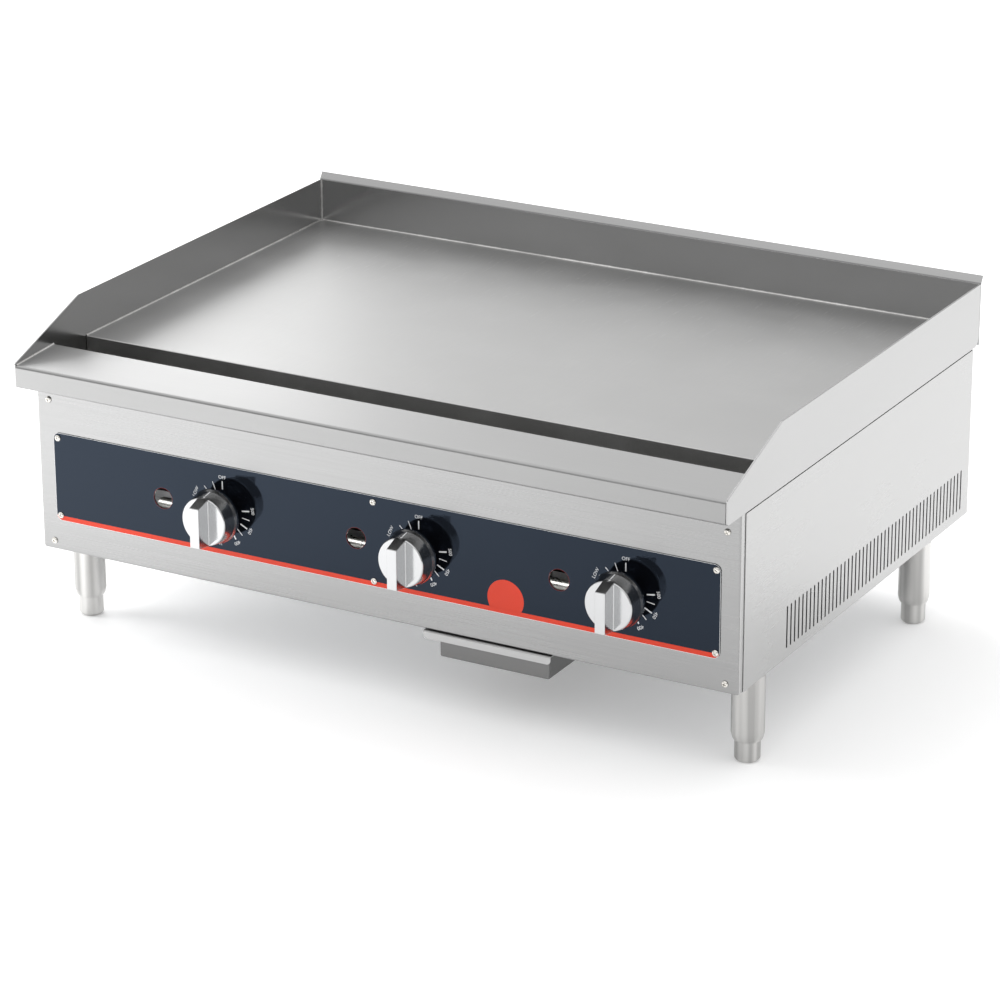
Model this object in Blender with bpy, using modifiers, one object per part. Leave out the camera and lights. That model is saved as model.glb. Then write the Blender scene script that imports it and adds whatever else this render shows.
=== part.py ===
"""Countertop gas flat top griddle, three burner zones, 36 inch class.

Frame: metres, +Z up, the front (controls) faces -Y, +X is to the right seen from the front.
The origin lies at the bottom of the feet, in the middle of the overall width and depth.
All driving dimensions below are millimetres; mm() turns them into metres, and depths are
first stated from the front face of the ledge, then moved back by DEPTH_CENTRE.
"""

import math

import bmesh
import bpy
from mathutils import Matrix, Vector

# ---------------------------------------------------------------- driving dimensions (mm)
OBJECT_NAME = "flat_top_griddle"
DEPTH_CENTRE = 341.4        # from the ledge's front face back to the middle of the overall depth
GAP = 0.3                   # clearance between touching pieces

WIDTH = 914.0               # over the side splashes (36 in)
LEG_HEIGHT = 103.5          # underside of the body (4 in legs)
LEDGE_BOTTOM = 313.0        # lower edge of ledge and splashes
LEDGE_CREASE = 340.0        # front top edge of the ledge
LEDGE_BACK = 344.0          # ledge height at the grease trough
LEDGE_DEPTH = 79.0          # front face to trough edge
PLATE_FRONT = 142.0         # front edge of the cooking plate
PLATE_BACK = 671.6
PLATE_TOP = 335.0
PLATE_THICK = 19.0          # 3/4 in steel
SPLASH_TOP = 389.0
SPLASH_THICK = 2.0
SPLASH_KINK = 131.0         # where the sloping front of a side splash ends
REAR_SPLASH_FACE = 672.0
REAR_LIP_Y = 678.4
REAR_LIP_TOP = 397.6

PANEL_FACE = 39.2           # outer face of the front panel
PANEL_HALF = 454.2
PANEL_TOP = 337.0
PANEL_RETURN = 8.0
SHEET = 1.2                 # body sheet thickness
SIDE_OUTER = 456.5          # outer face of a side panel
SIDE_FRONT = 48.1
SIDE_BACK = 658.5
SIDE_TOP = 311.5
SIDE_FLANGE = 45.0          # inward flange under a side panel, which the legs bolt to
REAR_OUTER = 660.0

SLOT_COUNT = 49             # louvre slots in each side panel
SLOT_PITCH = 10.0
SLOT_FIRST = 155.0
SLOT_WIDTH = 3.8
SLOT_LOW = 117.0
SLOT_HIGH = 166.5

OVERLAY_LEFT = -433.0
OVERLAY_RIGHT = 432.0
OVERLAY_LOW = 142.0
OVERLAY_HIGH = 251.0
OVERLAY_CORNER = 8.0
OVERLAY_THICK = 0.8

ZONE_NAMES = ("left", "middle", "right")
DIAL_X = (-200.1, 58.9, 317.9)
DIAL_Z = 196.0
SIGHT_OFFSET = -81.9        # sight hole, left of its dial
SIGHT_R = 12.5
SHAFT_HOLE_R = 6.0

KNOB_HUB_BASE = 5.0         # heights in front of the panel face
KNOB_BASE = 19.0            # rear rim of the cap
KNOB_SKIRT_TOP = 22.0
KNOB_WALL_LOW = 26.0
KNOB_DISC = 42.4
KNOB_FRONT = 61.2
KNOB_SKIRT_R = 32.6
KNOB_WALL_R = 31.4
KNOB_DISC_R = 28.8
KNOB_BAR_HALF = 6.2
KNOB_BAR_UP = 22.3          # bar's front face, above and below the axis
KNOB_BAR_DOWN = -25.6
KNOB_BAR_ROOT_UP = 28.0     # where the bar's ends meet the disc
KNOB_BAR_ROOT_DOWN = -28.0
SHAFT_R = 3.1
KNOB_BORE_R = 3.5

TROUGH_FLOOR = 262.0
TROUGH_TOP = 316.5
CHUTE = (113.0, 177.0, 88.5, 131.5)   # x and depth limits of the grease chute
CHUTE_LOW = 104.2

DRAWER_X0 = 75.0
DRAWER_X1 = 215.0
DRAWER_FRONT = 54.0
DRAWER_BACK = 432.0
DRAWER_BOTTOM = 66.0
DRAWER_RIM = 102.0
DRAWER_FLANGE_LOW = 100.0   # underside of the side flanges that ride on the rails
DRAWER_FLANGE = 10.0
LIP_FRONT = 36.4
LIP_TOP = 102.6
LIP_LOW = 93.0
LIP_OVER = 11.0

LEG_X = 436.0
LEG_Y = (103.6, 552.5)
SLEEVE_R = 19.0
SLEEVE_LOW = 25.0
SLEEVE_BORE_R = 15.1
FOOT_R = 14.75
FOOT_TOP = 62.0

PIPE_R = 13.35              # 3/4 in pipe
PIPE_BORE_R = 10.4
MANIFOLD_Y = 68.0
MANIFOLD_Z = 170.0
MANIFOLD_LEFT = -305.0
INLET_X = 402.0
INLET_END = 704.8

BURNER_R = 19.0
BURNER_WALL = 1.5
BURNER_Z = 236.0
BURNER_LEG_SPACING = 116.0
BURNER_MOUTH = 133.0
BURNER_BEND_Y = 545.0
BURNER_RETURN_Y = 215.0
SHIELD_Y = 150.0
SHIELD_LOW = 154.0

# ---------------------------------------------------------------- scene and helpers
for old in list(bpy.data.objects):
    bpy.data.objects.remove(old, do_unlink=True)

scene = bpy.context.scene
parts = bpy.data.collections.new(OBJECT_NAME)
cutters = bpy.data.collections.new("cutters")
scene.collection.children.link(parts)
scene.collection.children.link(cutters)


def mm(x, y, z):
    """A point in millimetres, with depth from the ledge's front face, in world metres."""
    return Vector((x * 0.001, (y - DEPTH_CENTRE) * 0.001, z * 0.001))


def material(name, colour, roughness, metallic):
    mat = bpy.data.materials.new(name)
    mat.use_nodes = True
    bsdf = mat.node_tree.nodes["Principled BSDF"]
    bsdf.inputs["Base Color"].default_value = (*colour, 1.0)
    bsdf.inputs["Roughness"].default_value = roughness
    bsdf.inputs["Metallic"].default_value = metallic
    mat.diffuse_color = (*colour, 1.0)
    return mat


STAINLESS = (0.62, 0.62, 0.61)
LOOKS = {
    "plate": ((0.50, 0.49, 0.47), 0.42, 1.0),
    "stainless": (STAINLESS, 0.36, 1.0),
    "splash": ((0.50, 0.50, 0.49), 0.33, 1.0),
    "trough": ((0.16, 0.16, 0.16), 0.5, 1.0),
    "galvanised": ((0.45, 0.46, 0.47), 0.5, 1.0),
    "overlay": ((0.022, 0.030, 0.045), 0.12, 0.0),
    "chrome": ((0.80, 0.80, 0.80), 0.16, 1.0),
    "plated": ((0.72, 0.70, 0.66), 0.25, 1.0),
    "brass": ((0.62, 0.47, 0.20), 0.32, 1.0),
    "black_iron": ((0.05, 0.05, 0.05), 0.55, 0.6),
    "cast_zinc": ((0.42, 0.42, 0.43), 0.5, 0.9),
    "aluminised": ((0.40, 0.40, 0.40), 0.5, 0.9),
}


def place(name, data, look, collection=None):
    obj = bpy.data.objects.new(name, data)
    (collection or parts).objects.link(obj)
    if look:
        obj.data.materials.append(material(name + "_finish", *LOOKS[look]))
    return obj


def as_cutter(obj):
    obj.hide_render = True
    obj.display_type = "WIRE"
    return obj


def box_bmesh(bm, x0, x1, y0, y1, z0, z1):
    """Adds a closed box between two corners, depths from the ledge face."""
    low, high = mm(x0, y0, z0), mm(x1, y1, z1)
    size = high - low
    matrix = Matrix.Translation((low + high) / 2) @ Matrix.Diagonal((*size, 1.0))
    return bmesh.ops.create_cube(bm, size=1.0, matrix=matrix)["verts"]


def box(name, limits, look, bevel=0.0):
    bm = bmesh.new()
    box_bmesh(bm, *limits)
    mesh = bpy.data.meshes.new(name)
    bm.to_mesh(mesh)
    bm.free()
    obj = place(name, mesh, look)
    if bevel:
        mod = obj.modifiers.new("edge", "BEVEL")
        mod.width = bevel * 0.001
        mod.segments = 1
    return obj


def box_cutter(name, boxes):
    bm = bmesh.new()
    for limits in boxes:
        box_bmesh(bm, *limits)
    mesh = bpy.data.meshes.new(name)
    bm.to_mesh(mesh)
    bm.free()
    return as_cutter(place(name, mesh, None, cutters))


def drill_cutter(name, holes, y0, y1):
    """Round holes along the depth; holes are (x, z, radius, sides)."""
    bm = bmesh.new()
    for x, z, radius, sides in holes:
        matrix = Matrix.Translation(mm(x, (y0 + y1) / 2, z)) @ Matrix.Rotation(math.radians(90), 4, "X")
        bmesh.ops.create_cone(bm, cap_ends=True, segments=sides, radius1=radius * 0.001,
                              radius2=radius * 0.001, depth=(y1 - y0) * 0.001, matrix=matrix)
    mesh = bpy.data.meshes.new(name)
    bm.to_mesh(mesh)
    bm.free()
    return as_cutter(place(name, mesh, None, cutters))


def boolean(obj, cutter, operation="DIFFERENCE"):
    mod = obj.modifiers.new(cutter.name, "BOOLEAN")
    mod.operation = operation
    mod.solver = "EXACT"
    mod.object = cutter
    return obj


def bent_sheet(name, profile, x0, x1, thick, look, offset=0.0):
    """A sheet bent along X: profile is a list of (depth, height) points on its middle plane."""
    bm = bmesh.new()
    verts = [bm.verts.new(mm(x0, y, z)) for y, z in profile]
    edges = [bm.edges.new(pair) for pair in zip(verts, verts[1:])]
    grown = bmesh.ops.extrude_edge_only(bm, edges=edges)["geom"]
    moved = [g for g in grown if isinstance(g, bmesh.types.BMVert)]
    bmesh.ops.translate(bm, verts=moved, vec=((x1 - x0) * 0.001, 0, 0))
    mesh = bpy.data.meshes.new(name)
    bm.to_mesh(mesh)
    bm.free()
    obj = place(name, mesh, look)
    solid(obj, thick, offset)
    return obj


def bent_sheet_y(name, profile, y0, y1, thick, look):
    """A sheet bent along the depth: profile is a list of (x, height) points on its middle plane."""
    bm = bmesh.new()
    verts = [bm.verts.new(mm(x, y0, z)) for x, z in profile]
    edges = [bm.edges.new(pair) for pair in zip(verts, verts[1:])]
    grown = bmesh.ops.extrude_edge_only(bm, edges=edges)["geom"]
    moved = [g for g in grown if isinstance(g, bmesh.types.BMVert)]
    bmesh.ops.translate(bm, verts=moved, vec=(0, (y1 - y0) * 0.001, 0))
    mesh = bpy.data.meshes.new(name)
    bm.to_mesh(mesh)
    bm.free()
    obj = place(name, mesh, look)
    solid(obj, thick, 0.0)
    return obj


def solid(obj, thick, offset):
    mod = obj.modifiers.new("sheet", "SOLIDIFY")
    mod.thickness = thick * 0.001
    mod.offset = offset
    mod.use_even_offset = True
    return obj


def open_box(name, limits, thick, look, drop):
    """A box of sheet without the faces whose outward normals are listed, its outside at the limits."""
    bm = bmesh.new()
    box_bmesh(bm, *limits)
    bm.normal_update()
    gone = [f for f in bm.faces if any((f.normal - Vector(n)).length < 0.1 for n in drop)]
    bmesh.ops.delete(bm, geom=gone, context="FACES")
    mesh = bpy.data.meshes.new(name)
    bm.to_mesh(mesh)
    bm.free()
    obj = place(name, mesh, look)
    solid(obj, thick, -1.0)
    return obj


def outline_curve(name, loops, thick, matrix, look):
    """A flat plate: closed loops of points in a plane, the first outside, the rest holes."""
    curve = bpy.data.curves.new(name, "CURVE")
    curve.dimensions = "2D"
    curve.fill_mode = "BOTH"
    curve.extrude = thick * 0.0005
    curve.resolution_u = 1
    curve.render_resolution_u = 0
    for loop in loops:
        spline = curve.splines.new("POLY")
        spline.points.add(len(loop) - 1)
        for point, (a, b) in zip(spline.points, loop):
            point.co = (a * 0.001, b * 0.001, 0.0, 1.0)
        spline.use_cyclic_u = True
    obj = place(name, curve, look)
    obj.matrix_world = matrix
    return obj


def arc(cx, cy, radius, start, end, steps):
    """Points on an arc, angles in degrees."""
    out = []
    for i in range(steps + 1):
        a = math.radians(start + (end - start) * i / steps)
        out.append((cx + radius * math.cos(a), cy + radius * math.sin(a)))
    return out


def circle(cx, cy, radius, sides):
    return arc(cx, cy, radius, 0, 360, sides)[:-1]


def rounded(x0, x1, y0, y1, radius, steps):
    return (arc(x0 + radius, y0 + radius, radius, 180, 270, steps)
            + arc(x1 - radius, y0 + radius, radius, 270, 360, steps)
            + arc(x1 - radius, y1 - radius, radius, 0, 90, steps)
            + arc(x0 + radius, y1 - radius, radius, 90, 180, steps))


def turned(name, profile, segments, look, loop=False, collection=None):
    """A turned piece about local Z: profile points (radius, height) run down the outside."""
    bm = bmesh.new()
    verts = [bm.verts.new((r * 0.001, 0.0, z * 0.001)) for r, z in profile]
    for pair in zip(verts, verts[1:]):
        bm.edges.new(pair)
    if loop:
        bm.edges.new((verts[-1], verts[0]))
    mesh = bpy.data.meshes.new(name)
    bm.to_mesh(mesh)
    bm.free()
    obj = place(name, mesh, look, collection)
    mod = obj.modifiers.new("turn", "SCREW")
    mod.axis = "Z"
    mod.angle = 2 * math.pi
    mod.steps = segments
    mod.render_steps = segments
    mod.use_merge_vertices = True
    mod.merge_threshold = 0.00001
    mod.use_smooth_shade = True
    return obj


def facing_front(obj, x, y, z):
    """Stands a turned piece on the depth axis: its local +Z points to the front."""
    obj.location = mm(x, y, z)
    obj.rotation_euler = (math.radians(90), 0, 0)
    return obj


def swept(name, points, radius, sides_level, look, hollow=None):
    """A tube along world points; hollow gives its wall, and its last end is then closed if asked."""
    curve = bpy.data.curves.new(name, "CURVE")
    curve.dimensions = "3D"
    curve.bevel_depth = radius * 0.001
    curve.bevel_resolution = sides_level
    curve.use_fill_caps = hollow is None
    curve.resolution_u = 1
    curve.render_resolution_u = 0
    spline = curve.splines.new("POLY")
    spline.points.add(len(points) - 1)
    for target, source in zip(spline.points, points):
        target.co = (*source, 1.0)
    if hollow is None:
        return place(name, curve, look)
    wall, close_end = hollow
    draft = place(name + "_path", curve, None)
    mesh = bpy.data.meshes.new_from_object(draft.evaluated_get(bpy.context.evaluated_depsgraph_get()))
    bpy.data.objects.remove(draft, do_unlink=True)
    bm = bmesh.new()
    bm.from_mesh(mesh)
    bmesh.ops.remove_doubles(bm, verts=bm.verts, dist=0.00001)
    if close_end:
        end = points[-1]
        rim = [e for e in bm.edges if e.is_boundary
               and all((v.co - end).length < radius * 0.0015 for v in e.verts)]
        bmesh.ops.holes_fill(bm, edges=rim, sides=0)
    bmesh.ops.recalc_face_normals(bm, faces=bm.faces)
    bm.to_mesh(mesh)
    bm.free()
    mesh.name = name
    obj = place(name, mesh, look)
    solid(obj, wall, -1.0)
    return obj


YZ_PLANE = Matrix(((0, 0, 1, 0), (1, 0, 0, 0), (0, 1, 0, 0), (0, 0, 0, 1)))   # local x,y,z -> world y,z,x
XZ_PLANE = Matrix(((1, 0, 0, 0), (0, 0, -1, 0), (0, 1, 0, 0), (0, 0, 0, 1)))  # local x,y,z -> world x,z,-y


def in_yz(x):
    return Matrix.Translation(mm(x, 0, 0)) @ YZ_PLANE


def in_xz(y):
    return Matrix.Translation(mm(0, y, 0)) @ XZ_PLANE


# ---------------------------------------------------------------- cooking top
half = WIDTH / 2
inner_half = half - SPLASH_THICK - GAP
box("griddle_plate", (-inner_half, inner_half, PLATE_FRONT, PLATE_BACK,
                      PLATE_TOP - PLATE_THICK, PLATE_TOP), "plate", bevel=0.8)

side_outline = (arc(3.6, LEDGE_BOTTOM + 3.0, 3.0, 270, 180, 2)
                + [(0.6, LEDGE_CREASE + 1.0), (2.2, LEDGE_CREASE + 2.9)]
                + [(SPLASH_KINK, SPLASH_TOP), (PLATE_BACK, SPLASH_TOP)]
                + arc(PLATE_BACK - 10.0, LEDGE_BOTTOM + 10.0, 10.0, 0, -90, 3))
for side, sign in (("left", -1), ("right", 1)):
    outline_curve(side + "_splash_guard", [side_outline], SPLASH_THICK,
                  in_yz(sign * (half - SPLASH_THICK / 2)), "splash")

bent_sheet("rear_splash_guard",
           [(REAR_SPLASH_FACE + 1.0, LEDGE_BOTTOM), (REAR_SPLASH_FACE + 1.0, SPLASH_TOP),
            (REAR_LIP_Y, REAR_LIP_TOP)], -half, half, SPLASH_THICK, "splash")

bent_sheet("front_ledge",
           [(13.0, LEDGE_BOTTOM + 0.75), (0.75, LEDGE_BOTTOM + 0.75), (0.75, LEDGE_CREASE - 0.7),
            (LEDGE_DEPTH - 0.75, LEDGE_BACK - 0.75), (LEDGE_DEPTH - 0.75, 300.0)],
           -inner_half, inner_half, 1.5, "stainless")

trough = open_box("grease_trough",
                  (-inner_half, inner_half, LEDGE_DEPTH + GAP, PLATE_FRONT - GAP, TROUGH_FLOOR, TROUGH_TOP),
                  1.5, "trough", [(0, 0, 1)])
cx0, cx1, cy0, cy1 = CHUTE
boolean(trough, box_cutter("drain_hole", [(cx0 + 2, cx1 - 2, cy0 + 2, cy1 - 2,
                                           TROUGH_FLOOR - 5, TROUGH_FLOOR + 5)]))
open_box("drain_chute", (cx0, cx1, cy0, cy1, CHUTE_LOW, TROUGH_FLOOR - GAP), SHEET, "stainless",
         [(0, 0, 1), (0, 0, -1)])

# ---------------------------------------------------------------- body panels
front = open_box("front_panel", (-PANEL_HALF, PANEL_HALF, PANEL_FACE, PANEL_FACE + PANEL_RETURN,
                                 LEG_HEIGHT, PANEL_TOP), SHEET, "stainless", [(0, 1, 0), (0, 0, 1)])
PANEL_SCREWS = [(s * 438.5, z) for s in (-1, 1) for z in (290.0, 114.3)]
OVERLAY_SCREWS = [(-427.0, 244.5), (-427.0, 148.5), (0.0, 243.5), (0.0, 148.5), (427.0, 244.5), (427.0, 148.5)]
front_holes = ([(x, DIAL_Z, SHAFT_HOLE_R, 12) for x in DIAL_X]
               + [(x + SIGHT_OFFSET, DIAL_Z, SIGHT_R, 16) for x in DIAL_X]
               + [(x, z, 2.3, 8) for x, z in PANEL_SCREWS + OVERLAY_SCREWS])
boolean(front, drill_cutter("front_panel_holes", front_holes, PANEL_FACE - 4, PANEL_FACE + 4))

overlay_loops = [rounded(OVERLAY_LEFT, OVERLAY_RIGHT, OVERLAY_LOW, OVERLAY_HIGH, OVERLAY_CORNER, 4)]
overlay_loops += [circle(x, DIAL_Z, SHAFT_HOLE_R, 12) for x in DIAL_X]
overlay_loops += [circle(x + SIGHT_OFFSET, DIAL_Z, SIGHT_R, 16) for x in DIAL_X]
overlay_loops += [circle(x, z, 2.3, 8) for x, z in OVERLAY_SCREWS]
OVERLAY_FACE = PANEL_FACE - GAP - OVERLAY_THICK
outline_curve("control_overlay", overlay_loops, OVERLAY_THICK,
              in_xz(OVERLAY_FACE + OVERLAY_THICK / 2), "overlay")

slots = [SLOT_FIRST + SLOT_PITCH * i for i in range(SLOT_COUNT)]
for side, sign in (("left", -1), ("right", 1)):
    wall = sign * (SIDE_OUTER - SHEET / 2)
    flange = sign * (SIDE_OUTER - SIDE_FLANGE)
    panel = bent_sheet_y(side + "_side_panel",
                         [(flange, LEG_HEIGHT + SHEET / 2), (wall, LEG_HEIGHT + SHEET / 2), (wall, SIDE_TOP)],
                         SIDE_FRONT, SIDE_BACK, SHEET, "stainless")
    x0, x1 = sorted((wall - 4, wall + 4))
    boolean(panel, box_cutter(side + "_slots", [(x0, x1, y - SLOT_WIDTH / 2, y + SLOT_WIDTH / 2,
                                                 SLOT_LOW, SLOT_HIGH) for y in slots]))

FLUE = (-350.0, 350.0, 268.0, 300.0)
rear_half = half - SPLASH_THICK - 0.6
outline_curve("rear_panel",
              [[(-rear_half, LEG_HEIGHT), (rear_half, LEG_HEIGHT),
                (rear_half, PLATE_TOP - PLATE_THICK - GAP), (-rear_half, PLATE_TOP - PLATE_THICK - GAP)],
               rounded(FLUE[0], FLUE[1], FLUE[2], FLUE[3], 6.0, 2),
               circle(INLET_X, MANIFOLD_Z, 20.0, 16)],
              SHEET, in_xz(REAR_OUTER - SHEET / 2), "galvanised")

pan_low = LEG_HEIGHT + SHEET + GAP
pan = box("bottom_pan", (-PANEL_HALF + SHEET + 0.6, PANEL_HALF - SHEET - 0.6, PANEL_FACE + SHEET + GAP + 1.5, REAR_OUTER - SHEET - GAP,
                         pan_low, pan_low + SHEET), "galvanised")
boolean(pan, box_cutter("pan_chute_hole", [(cx0 - 3, cx1 + 3, cy0 - 3, cy1 + 3, pan_low - 5, pan_low + 5)]))

# ---------------------------------------------------------------- controls
screw_profile = [(0.0, 2.3), (2.4, 2.1), (3.7, 1.1), (4.0, GAP), (2.0, GAP), (2.0, -9.0), (0.0, -9.0)]
for i, (x, z) in enumerate(PANEL_SCREWS, 1):
    facing_front(turned(f"panel_screw_{i}", screw_profile, 10, "plated"), x, PANEL_FACE, z)
for i, (x, z) in enumerate(OVERLAY_SCREWS, 1):
    facing_front(turned(f"overlay_screw_{i}", screw_profile, 10, "plated"), x, OVERLAY_FACE, z)

knob_profile = [(0.0, KNOB_DISC), (KNOB_DISC_R - 1.0, KNOB_DISC), (KNOB_DISC_R, KNOB_DISC - 1.0),
                (KNOB_WALL_R, KNOB_WALL_LOW), (KNOB_SKIRT_R, KNOB_SKIRT_TOP), (KNOB_SKIRT_R, KNOB_BASE + 1.0),
                (KNOB_SKIRT_R - 1.0, KNOB_BASE), (KNOB_SKIRT_R - 2.2, KNOB_BASE), (KNOB_SKIRT_R - 2.4, KNOB_SKIRT_TOP),
                (KNOB_DISC_R - 2.6, KNOB_DISC - 3.6), (9.0, KNOB_DISC - 3.6), (9.0, KNOB_HUB_BASE),
                (KNOB_BORE_R, KNOB_HUB_BASE), (KNOB_BORE_R, 31.0), (0.0, 31.0)]
for zone, x in zip(ZONE_NAMES, DIAL_X):
    knob = facing_front(turned(zone + "_knob", knob_profile, 24, "chrome"), x, PANEL_FACE, DIAL_Z)
    # the grip bar: a block whose ends and sides lean in towards its front face
    bm = bmesh.new()
    bmesh.ops.create_cube(bm, size=1.0)
    for v in bm.verts:
        top = v.co.z > 0
        up = v.co.y > 0
        width = KNOB_BAR_HALF if top else KNOB_BAR_HALF + 0.6
        reach = (KNOB_BAR_UP if up else KNOB_BAR_DOWN) if top else (KNOB_BAR_ROOT_UP if up else KNOB_BAR_ROOT_DOWN)
        v.co = Vector((math.copysign(width, v.co.x), reach, KNOB_FRONT if top else KNOB_DISC - 3.0)) * 0.001
    mesh = bpy.data.meshes.new(zone + "_grip")
    bm.to_mesh(mesh)
    bm.free()
    grip = as_cutter(facing_front(place(zone + "_grip", mesh, None, cutters), x, PANEL_FACE, DIAL_Z))
    boolean(knob, grip, "UNION")

    shaft = turned(zone + "_shaft", [(0.0, 30.0), (SHAFT_R - 0.4, 30.0), (SHAFT_R, 29.6), (SHAFT_R, -20.0), (0.0, -20.0)],
                   10, "plated")
    facing_front(shaft, x, PANEL_FACE, DIAL_Z)

    # thermostat: a cast body saddled on the manifold, bored for the shaft, with its outlet at the rear
    thermostat = box(zone + "_thermostat", (x - 28, x + 28, 46.0, 112.0,
                                            MANIFOLD_Z + PIPE_R + GAP, 250.0), "cast_zinc", bevel=3.0)
    boolean(thermostat, drill_cutter(zone + "_shaft_bore", [(x, DIAL_Z, 3.7, 10)], 40.0, 61.0))

    orifice = turned(zone + "_orifice", [(0.0, -12.0), (6.0, -12.0), (8.0, -13.0), (8.0, -24.0),
                                         (5.0, -26.0), (2.6, -33.0), (0.0, -33.0)], 12, "brass")
    facing_front(orifice, x, 100.0 + GAP, BURNER_Z)

# ---------------------------------------------------------------- gas train and burners
bore = PIPE_BORE_R
manifold = turned("gas_manifold", [(0.0, 0.0), (PIPE_R, 0.0), (PIPE_R, -(INLET_X - MANIFOLD_LEFT - 32.0)),
                                   (bore, -(INLET_X - MANIFOLD_LEFT - 32.0)), (bore, -4.0), (0.0, -4.0)],
                  16, "black_iron")
manifold.location = mm(MANIFOLD_LEFT, MANIFOLD_Y, MANIFOLD_Z)
manifold.rotation_euler = (0, math.radians(-90), 0)

bend = 30.0
inlet_path = [mm(INLET_X - 32.0 + GAP, MANIFOLD_Y, MANIFOLD_Z)]
inlet_path += [mm(px, py, MANIFOLD_Z) for px, py in arc(INLET_X - bend, MANIFOLD_Y + bend, bend, -90, 0, 5)]
inlet_path += [mm(INLET_X, INLET_END, MANIFOLD_Z)]
swept("gas_inlet_pipe", inlet_path, PIPE_R, 6, "black_iron", hollow=(PIPE_R - PIPE_BORE_R, False))

for zone, x in zip(ZONE_NAMES, DIAL_X):
    r_bend = BURNER_LEG_SPACING / 2
    path = [mm(x, BURNER_MOUTH, BURNER_Z), mm(x, BURNER_BEND_Y, BURNER_Z)]
    path += [mm(px, py, BURNER_Z) for px, py in arc(x - r_bend, BURNER_BEND_Y, r_bend, 0, 180, 6)][1:]
    path += [mm(x - BURNER_LEG_SPACING, BURNER_RETURN_Y, BURNER_Z)]
    swept(zone + "_burner", path, BURNER_R, 4, "aluminised", hollow=(BURNER_WALL, True))

    # air shutter: a sleeve that turns on the burner's mouth, with two air windows
    shutter = turned(zone + "_air_shutter", [(20.8, 2.0), (20.8, -14.0), (19.5, -14.0), (19.5, 0.8), (9.6, 0.8), (9.6, 2.0)],
                     20, "plated", loop=True)
    facing_front(shutter, x, BURNER_MOUTH, BURNER_Z)
    boolean(shutter, box_cutter(zone + "_air_windows", [(x - 30, x + 30, BURNER_MOUTH + 4, BURNER_MOUTH + 10,
                                                         BURNER_Z - 6, BURNER_Z + 6)]))

    # pilot: a thin tube from the manifold, turned up to a lighting tip beside the burner
    px = x + SIGHT_OFFSET
    pilot = [mm(px, MANIFOLD_Y + PIPE_R + GAP, MANIFOLD_Z), mm(px, 172.0, MANIFOLD_Z)]
    pilot += [mm(px, py, pz) for py, pz in arc(172.0, MANIFOLD_Z + 14.0, 14.0, -90, 0, 4)][1:]
    pilot += [mm(px, 186.0, 228.0)]
    swept(zone + "_pilot_burner", pilot, 3.5, 2, "brass")

shield = box("burner_box_front", (-rear_half, rear_half, SHIELD_Y, SHIELD_Y + SHEET,
                                  SHIELD_LOW, PLATE_TOP - PLATE_THICK - GAP), "galvanised")
shield_holes = [(x, BURNER_Z, BURNER_R + 0.6, 16) for x in DIAL_X]
shield_holes += [(x + SIGHT_OFFSET, 208.0, 15.0, 12) for x in DIAL_X]
shield_holes += [(x + SIGHT_OFFSET, MANIFOLD_Z, 5.0, 8) for x in DIAL_X]
shield_holes += [(INLET_X, MANIFOLD_Z, PIPE_R + 1.2, 16)]
boolean(shield, drill_cutter("burner_box_holes", shield_holes, SHIELD_Y - 5, SHIELD_Y + 6))

bent_sheet("burner_rear_support",
           [(556.0, 190.0), (556.0, BURNER_Z - BURNER_R - 1.2), (580.0, BURNER_Z - BURNER_R - 1.2)],
           -rear_half, rear_half, 1.6, "galvanised")

# ---------------------------------------------------------------- grease drawer
drawer = open_box("grease_drawer", (DRAWER_X0, DRAWER_X1, DRAWER_FRONT, DRAWER_BACK, DRAWER_BOTTOM, DRAWER_RIM),
                  SHEET, "stainless", [(0, 0, 1)])
rim = DRAWER_FLANGE_LOW
flanges = box_cutter("drawer_flanges", [
    (DRAWER_X0 - DRAWER_FLANGE, DRAWER_X0 + 0.6, DRAWER_FRONT + 2.0, DRAWER_BACK - 2.0, rim, rim + SHEET),
    (DRAWER_X1 - 0.6, DRAWER_X1 + DRAWER_FLANGE, DRAWER_FRONT + 2.0, DRAWER_BACK - 2.0, rim, rim + SHEET)])
boolean(drawer, flanges, "UNION")
lip = bent_sheet("drawer_lip", [(DRAWER_FRONT + 0.7, LIP_TOP - 0.6), (LIP_FRONT + 0.6, LIP_TOP - 0.6),
                                (LIP_FRONT + 0.6, LIP_LOW)],
                 DRAWER_X0 - LIP_OVER, DRAWER_X1 + LIP_OVER, SHEET, None)
parts.objects.unlink(lip)
cutters.objects.link(as_cutter(lip))
boolean(drawer, lip, "UNION")

for side, edge, out in (("left", DRAWER_X0, -1), ("right", DRAWER_X1, 1)):
    tip = edge + out * 4.0
    web = edge + out * (DRAWER_FLANGE + 3.0)
    bent_sheet_y(side + "_drawer_rail",
                 [(tip, rim - GAP - 0.6), (web, rim - GAP - 0.6), (web, LEG_HEIGHT + 0.6),
                  (web + out * 22.0, LEG_HEIGHT + 0.6)],
                 DRAWER_FRONT + 4.0, DRAWER_BACK + 8.0, SHEET, "galvanised")

# ---------------------------------------------------------------- legs
sleeve_profile = [(0.0, LEG_HEIGHT - GAP), (SLEEVE_R, LEG_HEIGHT - GAP), (SLEEVE_R, 33.0), (17.8, 27.5),
                  (16.2, SLEEVE_LOW), (SLEEVE_BORE_R, SLEEVE_LOW), (SLEEVE_BORE_R, 84.0), (0.0, 84.0)]
foot_profile = [(0.0, FOOT_TOP), (FOOT_R, FOOT_TOP), (FOOT_R, 2.5), (12.2, 0.0), (0.0, 0.0)]
for fb, y in zip(("front", "rear"), LEG_Y):
    for side, sign in (("left", -1), ("right", 1)):
        for kind, profile, look in (("leg", sleeve_profile, "stainless"), ("foot", foot_profile, "stainless")):
            obj = turned(f"{fb}_{side}_{kind}", profile, 18, look)
            obj.location = mm(sign * LEG_X, y, 0)
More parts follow.
